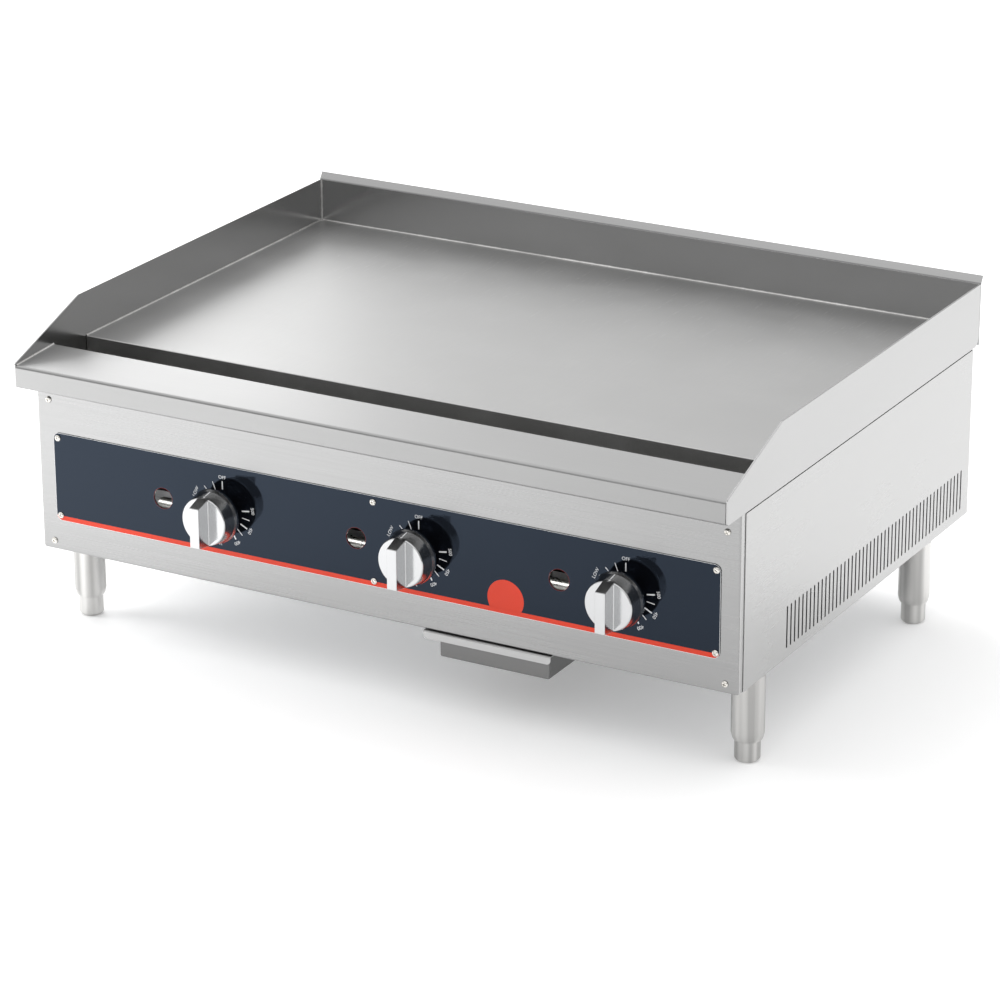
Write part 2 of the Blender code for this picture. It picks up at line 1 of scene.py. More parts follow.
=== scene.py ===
"""Looks of the countertop flat top griddle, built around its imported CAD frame."""
import math

import bmesh
import bpy
from mathutils import Matrix, Vector


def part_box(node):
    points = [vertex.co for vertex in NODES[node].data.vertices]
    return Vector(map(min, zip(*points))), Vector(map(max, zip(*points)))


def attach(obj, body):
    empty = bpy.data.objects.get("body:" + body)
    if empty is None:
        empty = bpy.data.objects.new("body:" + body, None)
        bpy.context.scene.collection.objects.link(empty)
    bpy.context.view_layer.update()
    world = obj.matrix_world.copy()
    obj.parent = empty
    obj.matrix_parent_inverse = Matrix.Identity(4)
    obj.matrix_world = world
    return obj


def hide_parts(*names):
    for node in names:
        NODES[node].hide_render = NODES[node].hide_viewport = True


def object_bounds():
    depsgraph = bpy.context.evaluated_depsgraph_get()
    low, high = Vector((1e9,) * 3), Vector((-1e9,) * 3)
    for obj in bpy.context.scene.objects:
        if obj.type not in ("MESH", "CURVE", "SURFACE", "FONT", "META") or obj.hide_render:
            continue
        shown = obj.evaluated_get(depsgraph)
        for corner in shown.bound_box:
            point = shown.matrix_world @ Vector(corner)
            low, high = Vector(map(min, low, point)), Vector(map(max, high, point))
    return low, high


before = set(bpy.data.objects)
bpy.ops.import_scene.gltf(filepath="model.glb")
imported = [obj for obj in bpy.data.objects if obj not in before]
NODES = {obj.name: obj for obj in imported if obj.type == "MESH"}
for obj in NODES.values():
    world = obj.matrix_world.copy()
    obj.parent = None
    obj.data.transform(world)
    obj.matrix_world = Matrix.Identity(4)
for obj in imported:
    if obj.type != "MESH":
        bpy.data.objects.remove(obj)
CAD_LO, CAD_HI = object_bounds()
SCENE = bpy.context.scene

# ------------------------------------------------------------------ frame: lengths below are millimetres,
# with the depth counted from the front face of the ledge
DEPTH0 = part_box("front_ledge")[0].y


def P(x, y, z):
    return Vector((x * 0.001, y * 0.001 + DEPTH0, z * 0.001))


def lim(node):
    """A node's box in this file's millimetres: x0, x1, y0, y1, z0, z1."""
    lo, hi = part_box(node)
    return (lo.x * 1000, hi.x * 1000, (lo.y - DEPTH0) * 1000, (hi.y - DEPTH0) * 1000, lo.z * 1000, hi.z * 1000)


# ------------------------------------------------------------------ materials
def new_mat(name, base, rough, metal=1.0, **constant):
    mat = bpy.data.materials.new(name)
    mat.use_nodes = True
    nt = mat.node_tree
    bsdf = nt.nodes["Principled BSDF"]
    bsdf.inputs["Base Color"].default_value = (*base, 1)
    bsdf.inputs["Roughness"].default_value = rough
    bsdf.inputs["Metallic"].default_value = metal
    for key, value in constant.items():
        bsdf.inputs[key.replace("_", " ")].default_value = value
    return mat, nt, bsdf


def node(nt, kind, inputs=None, **props):
    n = nt.nodes.new(kind)
    for k, v in props.items():
        setattr(n, k, v)
    for k, v in (inputs or {}).items():
        n.inputs[k].default_value = v
    return n


def coords(nt, scale, turn=(0, 0, 0)):
    tc = node(nt, "ShaderNodeTexCoord")
    mp = node(nt, "ShaderNodeMapping")
    mp.inputs["Scale"].default_value = scale
    mp.inputs["Rotation"].default_value = turn
    nt.links.new(tc.outputs["Object"], mp.inputs["Vector"])
    return mp.outputs["Vector"]


def noise(nt, vec, scale=1.0, detail=2.0, rough=0.5):
    n = node(nt, "ShaderNodeTexNoise", {"Scale": scale, "Detail": detail, "Roughness": rough})
    nt.links.new(vec, n.inputs["Vector"])
    return n.outputs["Fac"]


def ramp(nt, fac, a, b, lo=0.0, hi=1.0):
    m = node(nt, "ShaderNodeMapRange", {"From Min": a, "From Max": b, "To Min": lo, "To Max": hi})
    nt.links.new(fac, m.inputs["Value"])
    return m.outputs["Result"]


def math_(nt, op, a, b):
    m = node(nt, "ShaderNodeMath", operation=op)
    for i, v in enumerate((a, b)):
        if isinstance(v, (int, float)):
            m.inputs[i].default_value = v
        else:
            nt.links.new(v, m.inputs[i])
    return m.outputs[0]


def mixc(nt, fac, a, b, blend="MIX"):
    m = node(nt, "ShaderNodeMix", data_type="RGBA", blend_type=blend)
    nt.links.new(fac, m.inputs["Factor"])
    for sock, v in ((m.inputs[6], a), (m.inputs[7], b)):
        if isinstance(v, tuple):
            sock.default_value = (*v, 1)
        else:
            nt.links.new(v, sock)
    return m.outputs[2]


def bump(nt, bsdf, height, strength, distance, after=None):
    b = node(nt, "ShaderNodeBump", {"Strength": strength, "Distance": distance})
    nt.links.new(height, b.inputs["Height"])
    if after is not None:
        nt.links.new(after, b.inputs["Normal"])
    nt.links.new(b.outputs["Normal"], bsdf.inputs["Normal"])
    return b.outputs["Normal"]


def scaled(colour, k):
    return tuple(min(1.0, c * k) for c in colour)


def brushed(name, base, rough, grain="x", lines=0.10, cloud=0.05, depth=0.00003, fold=None):
    """Rolled and brushed stainless: fine lines along the grain, a slow cloudiness, faint smears."""
    mat, nt, bsdf = new_mat(name, base, rough)
    along, fine, mid = 7.0, 1500.0, 330.0

    def stretch(across, length):
        return {"x": (length, across, across), "y": (across, length, across), "z": (across, across, length)}[grain]

    n_fine = noise(nt, coords(nt, stretch(fine, along)), 1.0, 2.0, 0.6)
    n_mid = noise(nt, coords(nt, stretch(mid, 2.2)), 1.0, 3.0, 0.6)
    n_slow = noise(nt, coords(nt, stretch(9.0, 4.0)), 1.0, 4.0, 0.55)
    streak = math_(nt, "ADD", math_(nt, "MULTIPLY", n_fine, 0.55), math_(nt, "MULTIPLY", n_mid, 0.45))
    tone = mixc(nt, ramp(nt, streak, 0.34, 0.66), scaled(base, 1 - lines), scaled(base, 1 + lines * 0.8))
    slow = mixc(nt, ramp(nt, n_slow, 0.3, 0.7), scaled((1.0, 1.0, 1.0), 1 - cloud), (1.0, 1.0, 1.0))
    m = node(nt, "ShaderNodeMix", {"Factor": 1.0}, data_type="RGBA", blend_type="MULTIPLY")
    nt.links.new(tone, m.inputs[6])
    nt.links.new(slow, m.inputs[7])
    toned = m.outputs[2]
    if fold:   # painted shade: the ledge's front face and fold are darker than the flat behind it
        sep = node(nt, "ShaderNodeSeparateXYZ")
        nt.links.new(coords(nt, (1.0, 1.0, 1.0)), sep.inputs[0])
        # painted shade: below the fold's far edge the base is scaled down, so the front face reads darker
        toned = mixc(nt, ramp(nt, sep.outputs["Y"], fold[0], fold[1]), scaled(base, fold[2]), toned)
    nt.links.new(toned, bsdf.inputs["Base Color"])
    r = math_(nt, "ADD", ramp(nt, streak, 0.3, 0.7, rough - min(0.05, 0.6 * lines + 0.004), rough + min(0.06, 0.7 * lines + 0.004)), ramp(nt, n_slow, 0.3, 0.7, -0.03, 0.03))
    nt.links.new(r, bsdf.inputs["Roughness"])
    bump(nt, bsdf, n_fine, 0.6, depth)
    return mat


def plate_steel(name):
    """Ground steel plate: fine grinding lines across, a slow mottle, and short wandering scratches."""
    base = (0.52, 0.52, 0.517)
    mat, nt, bsdf = new_mat(name, base, 0.34)
    grind = noise(nt, coords(nt, (1100.0, 22.0, 60.0)), 1.0, 2.0, 0.55)
    cross = noise(nt, coords(nt, (30.0, 900.0, 60.0), (0, 0, 0.7)), 1.0, 2.0, 0.55)
    mottle = noise(nt, coords(nt, (7.0, 9.0, 7.0)), 1.0, 5.0, 0.6)
    spots = noise(nt, coords(nt, (120.0, 90.0, 90.0)), 1.0, 3.0, 0.7)
    scratch_lines = noise(nt, coords(nt, (260.0, 18.0, 30.0), (0, 0, -0.5)), 1.0, 1.0, 0.5)
    # the scratches gather towards the rear edge
    tc = node(nt, "ShaderNodeTexCoord")
    sep = node(nt, "ShaderNodeSeparateXYZ")
    nt.links.new(tc.outputs["Object"], sep.inputs[0])
    rear = ramp(nt, sep.outputs["Y"], 0.02, 0.32)
    scratch = math_(nt, "MULTIPLY", ramp(nt, scratch_lines, 0.60, 0.72), math_(nt, "MULTIPLY", rear, ramp(nt, spots, 0.42, 0.62)))
    lines = math_(nt, "ADD", math_(nt, "MULTIPLY", grind, 0.6), math_(nt, "MULTIPLY", cross, 0.4))
    tone = mixc(nt, ramp(nt, lines, 0.34, 0.66), scaled(base, 0.965), scaled(base, 1.03))
    tone = mixc(nt, ramp(nt, mottle, 0.35, 0.65), scaled(base, 0.95), tone)
    tone = mixc(nt, math_(nt, "MULTIPLY", scratch, 0.5), tone, scaled(base, 1.22))
    nt.links.new(tone, bsdf.inputs["Base Color"])
    r = math_(nt, "ADD", ramp(nt, mottle, 0.3, 0.7, 0.37, 0.43), math_(nt, "MULTIPLY", scratch, -0.08))
    nt.links.new(r, bsdf.inputs["Roughness"])
    bump(nt, bsdf, math_(nt, "ADD", lines, math_(nt, "MULTIPLY", scratch, 0.8)), 0.5, 0.00003)
    return mat


def sooty(name, base, rough):
    """Dark trough steel with smears of grease and drips down its walls."""
    mat, nt, bsdf = new_mat(name, base, rough)
    smear = noise(nt, coords(nt, (26.0, 30.0, 9.0)), 1.0, 5.0, 0.62)
    drips = noise(nt, coords(nt, (95.0, 40.0, 8.0)), 1.0, 3.0, 0.6)
    grain_n = noise(nt, coords(nt, (900.0, 900.0, 900.0)), 1.0, 2.0, 0.5)
    tone = mixc(nt, ramp(nt, smear, 0.36, 0.66), scaled(base, 0.62), scaled(base, 1.35))
    tone = mixc(nt, ramp(nt, drips, 0.55, 0.72), tone, scaled(base, 1.55))
    nt.links.new(tone, bsdf.inputs["Base Color"])
    nt.links.new(ramp(nt, smear, 0.3, 0.7, rough - 0.1, rough + 0.12), bsdf.inputs["Roughness"])
    bump(nt, bsdf, grain_n, 0.3, 0.00004)
    return mat


def cast(name, base, rough, metal, grain=1300.0, amount=0.00008, patch=0.12):
    """Cast or scaled surface: fine pits and a patchy tone."""
    mat, nt, bsdf = new_mat(name, base, rough, metal)
    pits = noise(nt, coords(nt, (grain, grain, grain)), 1.0, 3.0, 0.6)
    patchy = noise(nt, coords(nt, (22.0, 22.0, 22.0)), 1.0, 4.0, 0.6)
    tone = mixc(nt, ramp(nt, patchy, 0.35, 0.65), scaled(base, 1 - patch), scaled(base, 1 + patch))
    tone = mixc(nt, ramp(nt, pits, 0.62, 0.75), tone, scaled(base, 0.7))
    nt.links.new(tone, bsdf.inputs["Base Color"])
    nt.links.new(ramp(nt, pits, 0.3, 0.7, rough - 0.06, rough + 0.08), bsdf.inputs["Roughness"])
    bump(nt, bsdf, pits, 0.5, amount)
    return mat


def spangle(name):
    """Galvanised sheet: crystal spangles a few millimetres across."""
    base = (0.56, 0.57, 0.58)
    mat, nt, bsdf = new_mat(name, base, 0.42)
    vor = node(nt, "ShaderNodeTexVoronoi", {"Scale": 1.0})
    nt.links.new(coords(nt, (130.0, 130.0, 130.0)), vor.inputs["Vector"])
    sep = node(nt, "ShaderNodeSeparateColor")
    nt.links.new(vor.outputs["Color"], sep.inputs[0])
    cell = sep.outputs[0]
    slow = noise(nt, coords(nt, (6.0, 6.0, 6.0)), 1.0, 3.0, 0.5)
    tone = mixc(nt, cell, scaled(base, 0.84), scaled(base, 1.1))
    tone = mixc(nt, ramp(nt, slow, 0.35, 0.65, 0.0, 0.5), tone, scaled(base, 0.9))
    nt.links.new(tone, bsdf.inputs["Base Color"])
    nt.links.new(ramp(nt, cell, 0.0, 1.0, 0.34, 0.52), bsdf.inputs["Roughness"])
    bump(nt, bsdf, cell, 0.15, 0.00003)
    return mat


def satin(name, base, rough, wear=0.05, metal=1.0, grain=500.0, depth=0.00001, **constant):
    """Plated, moulded or polished surface: a little unevenness in tone and gloss."""
    mat, nt, bsdf = new_mat(name, base, rough, metal, **constant)
    slow = noise(nt, coords(nt, (38.0, 38.0, 38.0)), 1.0, 4.0, 0.55)
    fine_n = noise(nt, coords(nt, (grain, grain, grain)), 1.0, 2.0, 0.5)
    tone = mixc(nt, ramp(nt, slow, 0.32, 0.68), scaled(base, 1 - wear), scaled(base, 1 + wear))
    nt.links.new(tone, bsdf.inputs["Base Color"])
    nt.links.new(ramp(nt, slow, 0.3, 0.7, max(0.02, rough - 0.03), rough + 0.04), bsdf.inputs["Roughness"])
    bump(nt, bsdf, fine_n, 0.4, depth)
    return mat


def leg_metal(name):
    """Brushed nickel tube: turning lines round it and long soft streaks down it; the streaks' light and dark tone is a
    painted reflection.
    """
    base = (0.51, 0.505, 0.495)
    mat, nt, bsdf = new_mat(name, base, 0.2)
    rings = noise(nt, coords(nt, (6.0, 6.0, 1500.0)), 1.0, 2.0, 0.5)
    down = noise(nt, coords(nt, (75.0, 75.0, 2.0)), 1.0, 1.0, 0.5)
    # painted reflection: light and dark bands down the tube in the base colour; the same bands also bump the surface
    tone = mixc(nt, ramp(nt, down, 0.36, 0.64), scaled(base, 0.74), scaled(base, 1.30))
    nt.links.new(tone, bsdf.inputs["Base Color"])
    nt.links.new(ramp(nt, rings, 0.3, 0.7, 0.16, 0.24), bsdf.inputs["Roughness"])
    bump(nt, bsdf, math_(nt, "ADD", math_(nt, "MULTIPLY", rings, 0.05), down), 0.5, 0.00006)
    return mat


def gloss_print(name, base, rough=0.09, wear=0.10, level=0.32, tint=(1.0, 1.0, 1.0)):
    """Glossy printed film on the control overlay."""
    mat, nt, bsdf = new_mat(name, base, rough, 0.0, Specular_IOR_Level=level, Specular_Tint=(*tint, 1))
    slow = noise(nt, coords(nt, (14.0, 14.0, 14.0)), 1.0, 3.0, 0.5)
    dots = noise(nt, coords(nt, (1400.0, 1400.0, 1400.0)), 1.0, 2.0, 0.5)
    tone = mixc(nt, ramp(nt, slow, 0.32, 0.68), scaled(base, 1 - wear), scaled(base, 1 + wear))
    nt.links.new(tone, bsdf.inputs["Base Color"])
    nt.links.new(ramp(nt, slow, 0.3, 0.7, rough - 0.02, rough + 0.02), bsdf.inputs["Roughness"])
    bump(nt, bsdf, dots, 0.25, 0.000006)
    return mat


M = {
    # front panel steel: a darker copy of the side panels' steel, painted shade
    "body_x": brushed("body_stainless_front_painted_shade", (0.345, 0.345, 0.345), 0.26, "x", 0.06, 0.05, 0.000016),
    "body_y": brushed("body_stainless_side", (0.50, 0.50, 0.498), 0.28, "y", 0.010, 0.03, 0.0000018),
    # ledge steel: its front face and fold carry painted shade at 0.68 of the base tone
    "ledge": brushed("ledge_stainless", (0.47, 0.47, 0.469), 0.33, "x", 0.03, 0.04, 0.000012, (DEPTH0 + 0.0008, DEPTH0 + 0.0045, 0.68)),
    "splash_side": brushed("splash_stainless_side", (0.465, 0.465, 0.464), 0.20, "y", 0.012, 0.04, 0.000004),
    "splash_rear": brushed("splash_stainless_rear", (0.45, 0.45, 0.449), 0.20, "x", 0.015, 0.04, 0.000004),
    "plate": plate_steel("griddle_steel_ground"),
    "trough": sooty("trough_steel_greasy", (0.40, 0.398, 0.392), 0.40),
    "weld": cast("weld_bead_steel", (0.60, 0.595, 0.585), 0.30, 1.0, 700.0, 0.0001, 0.15),
    "galvanised": spangle("galvanised_spangle"),
    # burner shield: near black, painted shade for the dark inside the body seen through the sight holes; grease smears
    # on top
    "shield": sooty("burner_shield_painted_shade", (0.11, 0.108, 0.105), 0.5),
    # drawer steel: a much darker copy of the body steel, painted shade for the drawer's low, shaded place
    "drawer": brushed("drawer_stainless_painted_shade", (0.19, 0.19, 0.189), 0.28, "x", 0.03, 0.05, 0.00001),
    "leg": leg_metal("leg_nickel"),
    "chrome": satin("knob_chrome_satin", (0.52, 0.525, 0.53), 0.15, 0.02, 1.0, 900.0, 0.000004),
    "skirt": satin("knob_skirt_black", (0.022, 0.023, 0.025), 0.22, 0.15, 0.0, 700.0, 0.00001),
    "screw": satin("plated_screw", (0.74, 0.72, 0.68), 0.22, 0.06, 1.0),
    "navy": gloss_print("overlay_navy", (0.003, 0.0035, 0.005), 0.08, 0.15, 0.41, (0.52, 0.70, 1.0)),
    # near-white ring at the film's edge: a painted highlight
    "edge_highlight_paint": gloss_print("overlay_edge_highlight_paint", (0.90, 0.91, 0.92), 0.30, 0.04),
    "dark_red": gloss_print("overlay_red_edge", (0.26, 0.018, 0.012), 0.15, 0.05),
    "red": gloss_print("overlay_red", (0.68, 0.040, 0.012), 0.12, 0.05),
    "white": gloss_print("overlay_white_print", (0.86, 0.87, 0.88), 0.25, 0.03),
    "brass": satin("brass_turned", (0.66, 0.49, 0.20), 0.30, 0.08),
    "zinc": cast("cast_zinc_body", (0.46, 0.46, 0.47), 0.48, 0.9),
    "aluminised": cast("aluminised_burner", (0.47, 0.47, 0.46), 0.46, 0.9, 600.0, 0.00005, 0.10),
    "pipe": cast("black_iron_pipe", (0.045, 0.045, 0.048), 0.5, 0.5, 900.0, 0.0001, 0.2),
    "plated": satin("plated_sheet", (0.66, 0.65, 0.62), 0.28, 0.06, 1.0),
}


# ------------------------------------------------------------------ mesh helpers
def finish_mesh(name, bm, mat, body="root", slot=None, replaces=(), angle=32.0, edge=0.0, segs=2, edge_angle=50.0):
    bmesh.ops.recalc_face_normals(bm, faces=bm.faces)
    if edge:
        sharp = [e for e in bm.edges if len(e.link_faces) == 2 and e.calc_face_angle(0.0) > math.radians(edge_angle)]
        bmesh.ops.bevel(bm, geom=sharp, offset=edge * 0.001, segments=segs, profile=0.5, affect="EDGES",
                        clamp_overlap=True)
    mesh = bpy.data.meshes.new(name)
    bm.to_mesh(mesh)
    bm.free()
    return as_piece(name, mesh, mat, body, replaces, angle)


def as_piece(name, mesh, mat, body="root", replaces=(), angle=32.0):
    mesh.shade_smooth()
    mesh.set_sharp_from_angle(angle=math.radians(angle))
    mesh.materials.clear()
    mesh.materials.append(M[mat] if isinstance(mat, str) else mat)
    obj = bpy.data.objects.new(name, mesh)
    SCENE.collection.objects.link(obj)
    wn = obj.modifiers.new("weighted", "WEIGHTED_NORMAL")
    wn.keep_sharp = True
    wn.weight = 60
    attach(obj, body)
    if replaces:
        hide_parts(*replaces)
    return obj


def bend_path(points, radius, steps=6):
    """The path's corners rounded; returns (point, unit normal) pairs."""
    pts = [Vector(p) for p in points]
    out = [pts[0]]
    for a, b, c in zip(pts, pts[1:], pts[2:]):
        u, v = (a - b).normalized(), (c - b).normalized()
        half = u.angle(v) / 2
        reach = min(radius / math.tan(half), (a - b).length * 0.49, (c - b).length * 0.49)
        r = reach * math.tan(half)
        centre = b + (u + v).normalized() * (r / math.sin(half))
        s, e = b + u * reach - centre, b + v * reach - centre
        turn = math.atan2(s.x * e.y - s.y * e.x, s.dot(e))
        for i in range(steps + 1):
            t = turn * i / steps
            out.append(centre + Vector((s.x * math.cos(t) - s.y * math.sin(t), s.x * math.sin(t) + s.y * math.cos(t))))
    out.append(pts[-1])
    clean = [out[0]]
    for p in out[1:]:
        if (p - clean[-1]).length > 1e-4:
            clean.append(p)
    res = []
    for i, p in enumerate(clean):
        d = (clean[min(i + 1, len(clean) - 1)] - clean[max(i - 1, 0)]).normalized()
        res.append((p, Vector((-d.y, d.x))))
    return res


def sheet(name, points, thick, a, b, axis, mat, radius=2.0, edge=0.25, cuts=(), **kw):
    """A bent sheet. points are on its middle line, (y, z) for axis x and (x, z) for axis y, run from a to b."""
    path = bend_path(points, radius)
    bm = bmesh.new()
    rings = []
    stations = [a] + [c for c in sorted(cuts) if a < c < b] + [b]
    for s in stations:
        row = []
        for p, n in path:
            for side in (0.5, -0.5):
                q = p + n * thick * side
                row.append(bm.verts.new(P(s, q.x, q.y) if axis == "x" else P(q.x, s, q.y)))
        rings.append(row)
    count = len(path)
    for r0, r1 in zip(rings, rings[1:]):
        for i in range(count - 1):
            for k in (0, 1):
                j0, j1 = 2 * i + k, 2 * (i + 1) + k
                bm.faces.new((r0[j0], r0[j1], r1[j1], r1[j0]))
        for j in (0, 2 * count - 2):
            bm.faces.new((r0[j], r0[j + 1], r1[j + 1], r1[j]))
    for row in (rings[0], rings[-1]):
        for i in range(count - 1):
            bm.faces.new((row[2 * i], row[2 * i + 1], row[2 * i + 3], row[2 * i + 2]))
    return finish_mesh(name, bm, mat, edge=edge, **kw)


def arc(cx, cy, r, a0, a1, steps):
    return [(cx + r * math.cos(math.radians(a0 + (a1 - a0) * i / steps)),
             cy + r * math.sin(math.radians(a0 + (a1 - a0) * i / steps))) for i in range(steps + 1)]


def rounded(x0, x1, y0, y1, r, steps=8):
    return (arc(x0 + r, y0 + r, r, 180, 270, steps) + arc(x1 - r, y0 + r, r, 270, 360, steps)
            + arc(x1 - r, y1 - r, r, 0, 90, steps) + arc(x0 + r, y1 - r, r, 90, 180, steps))


def prism(name, loop, a, b, axis, mat, edge=0.3, segs=2, **kw):
    """A closed outline run between a and b along an axis."""
    bm = bmesh.new()
    place = {"x": lambda s, p: P(s, p[0], p[1]), "y": lambda s, p: P(p[0], s, p[1]), "z": lambda s, p: P(p[0], p[1], s)}[axis]
    r0 = [bm.verts.new(place(a, p)) for p in loop]
    r1 = [bm.verts.new(place(b, p)) for p in loop]
    n = len(loop)
    for i in range(n):
        bm.faces.new((r0[i], r0[(i + 1) % n], r1[(i + 1) % n], r1[i]))
    bm.faces.new(r0)
    bm.faces.new(r1)
    return finish_mesh(name, bm, mat, edge=edge, segs=segs, **kw)


def lathe(name, profile, origin, axis, mat, segments=64, closed=False, **kw):
    """A turned piece: profile of (radius, height) along the axis from the origin (mm)."""
    axis = Vector(axis).normalized()
    side = Vector((1, 0, 0)) if abs(axis.x) < 0.9 else Vector((0, 1, 0))
    side = (side - axis * side.dot(axis)).normalized()
    third = axis.cross(side)
    bm = bmesh.new()
    rows = []
    base = P(*origin)
    for r, h in profile:
        if r < 1e-6:
            rows.append([bm.verts.new(base + axis * h * 0.001)])
        else:
            rows.append([bm.verts.new(base + axis * h * 0.001
                                      + (side * math.cos(2 * math.pi * i / segments)
                                         + third * math.sin(2 * math.pi * i / segments)) * r * 0.001)
                         for i in range(segments)])
    pairs = list(zip(rows, rows[1:])) + ([(rows[-1], rows[0])] if closed else [])
    for r0, r1 in pairs:
        for i in range(segments):
            j = (i + 1) % segments
            if len(r0) == 1 and len(r1) == 1:
                break
            if len(r0) == 1:
                bm.faces.new((r0[0], r1[i], r1[j]))
            elif len(r1) == 1:
                bm.faces.new((r0[i], r1[0], r0[j]))
            else:
                bm.faces.new((r0[i], r1[i], r1[j], r0[j]))
    return finish_mesh(name, bm, mat, **kw)


def rounded_profile(points, radius, steps=4):
    """A turned profile with its inner corners rounded; radius is one value or one per inner point."""
    out = [Vector(points[0])]
    for k, (a, b, c) in enumerate(zip(points, points[1:], points[2:])):
        r = radius[k] if isinstance(radius, (list, tuple)) else radius
        a, b, c = Vector(a), Vector(b), Vector(c)
        if r <= 0:
            out.append(b)
            continue
        u, v = (a - b).normalized(), (c - b).normalized()
        half = u.angle(v) / 2
        reach = min(r / math.tan(half), (a - b).length * 0.45, (c - b).length * 0.45)
        rr = reach * math.tan(half)
        centre = b + (u + v).normalized() * (rr / math.sin(half))
        s, e = b + u * reach - centre, b + v * reach - centre
        turn = math.atan2(s.x * e.y - s.y * e.x, s.dot(e))
        for i in range(steps + 1):
            t = turn * i / steps
            out.append(centre + Vector((s.x * math.cos(t) - s.y * math.sin(t), s.x * math.sin(t) + s.y * math.cos(t))))
    out.append(Vector(points[-1]))
    return [(p.x, p.y) for p in out]


def tube(name, points, radius, mat, body="root", replaces=(), res=10, bore=None, cap=True):
    """A round tube along points in millimetres."""
    curve = bpy.data.curves.new(name, "CURVE")
    curve.dimensions = "3D"
    curve.bevel_depth = radius * 0.001
    curve.bevel_resolution = res
    curve.use_fill_caps = cap
    spline = curve.splines.new("POLY")
    spline.points.add(len(points) - 1)
    for t, s in zip(spline.points, points):
        t.co = (*P(*s), 1.0)
    tmp = bpy.data.objects.new(name + "_tmp", curve)
    SCENE.collection.objects.link(tmp)
    mesh = bpy.data.meshes.new_from_object(tmp.evaluated_get(bpy.context.evaluated_depsgraph_get()))
    bpy.data.objects.remove(tmp, do_unlink=True)
    bpy.data.curves.remove(curve)
    mesh.name = name
    bm = bmesh.new()
    bm.from_mesh(mesh)
    bmesh.ops.remove_doubles(bm, verts=bm.verts, dist=1e-6)
    bmesh.ops.recalc_face_normals(bm, faces=bm.faces)
    bm.to_mesh(mesh)
    bm.free()
    return as_piece(name, mesh, mat, body, replaces, 40.0)


def cut_mesh(obj, cutter_bm, op="DIFFERENCE"):
    """Cuts the object's mesh with a closed shape, once, and keeps only the result."""
    cmesh = bpy.data.meshes.new("cut_shape")
    bmesh.ops.recalc_face_normals(cutter_bm, faces=cutter_bm.faces)
    cutter_bm.to_mesh(cmesh)
    cutter_bm.free()
    cutter = bpy.data.objects.new("cut_shape", cmesh)
    SCENE.collection.objects.link(cutter)
    mod = obj.modifiers.new("cut", "BOOLEAN")
    mod.operation = op
    mod.solver = "EXACT"
    mod.object = cutter
    weighted = [m for m in obj.modifiers if m.type == "WEIGHTED_NORMAL"]
    for m in weighted:
        obj.modifiers.remove(m)
    bpy.context.view_layer.update()
    done = bpy.data.meshes.new_from_object(obj.evaluated_get(bpy.context.evaluated_depsgraph_get()))
    obj.modifiers.clear()
    old, keep = obj.data, list(obj.data.materials)
    obj.data = done
    done.name = obj.name
    done.materials.clear()
    for k in keep[:1]:
        done.materials.append(k)
    bpy.data.objects.remove(cutter, do_unlink=True)
    bpy.data.meshes.remove(cmesh)
    bm = bmesh.new()
    bm.from_mesh(done)
    for f in bm.faces:
        f.material_index = 0
    bmesh.ops.remove_doubles(bm, verts=bm.verts, dist=1e-7)
    bmesh.ops.dissolve_degenerate(bm, dist=1e-7, edges=bm.edges)
    bm.to_mesh(done)
    bm.free()
    done.shade_smooth()
    done.set_sharp_from_angle(angle=math.radians(28))
    wn = obj.modifiers.new("weighted", "WEIGHTED_NORMAL")
    wn.keep_sharp = True
    wn.weight = 60
    return obj


def add_box(bm, x0, x1, y0, y1, z0, z1):
    lo, hi = P(x0, y0, z0), P(x1, y1, z1)
    size = hi - lo
    return bmesh.ops.create_cube(bm, size=1.0, matrix=Matrix.Translation((lo + hi) / 2) @ Matrix.Diagonal((*size, 1)))["verts"]


def add_rod(bm, x, z, radius, y0, y1, sides=48):
    m = Matrix.Translation(P(x, (y0 + y1) / 2, z)) @ Matrix.Rotation(math.radians(90), 4, "X")
    bmesh.ops.create_cone(bm, cap_ends=True, segments=sides, radius1=radius * 0.001, radius2=radius * 0.001,
                          depth=abs(y1 - y0) * 0.001, matrix=m)


def dress(name, mat, bevel=0.0, segs=2):
    """A CAD node that stays: its finish, and eased edges."""
    obj = NODES[name]
    obj.data.materials.clear()
    obj.data.materials.append(M[mat])
    if bevel:
        weld = obj.modifiers.new("weld", "WELD")
        weld.merge_threshold = 0.00001
        b = obj.modifiers.new("edge", "BEVEL")
        b.width = bevel * 0.001
        b.segments = segs
        b.limit_method = "ANGLE"
        b.angle_limit = math.radians(50)
        b.use_clamp_overlap = True
    return obj


# ------------------------------------------------------------------ cooking top
px0, px1, py0, py1, pz0, pz1 = lim("griddle_plate")
bm = bmesh.new()
add_box(bm, px0, px1, py0, py1, pz0, pz1)
finish_mesh("griddle_plate_ground", bm, "plate", edge=1.1, segs=4, slot="griddle_steel", replaces=("griddle_plate",))

lx0, lx1, ly0, ly1, lz0, lz1 = lim("front_ledge")
T = 1.5
lip = lim("right_splash_guard")[4]   # the front lip ends level with the splashes; the rear flange goes lower
sheet("front_ledge_sheet", [(13.0, lip + T / 2), (T / 2, lip + T / 2), (T / 2, lz1 - 4.7), (ly1 - T / 2, lz1 - T / 2),
                            (ly1 - T / 2, 300.0)], T, lx0, lx1, "x", "ledge", radius=2.6, edge=0.3,
      slot="body_stainless", replaces=("front_ledge",))

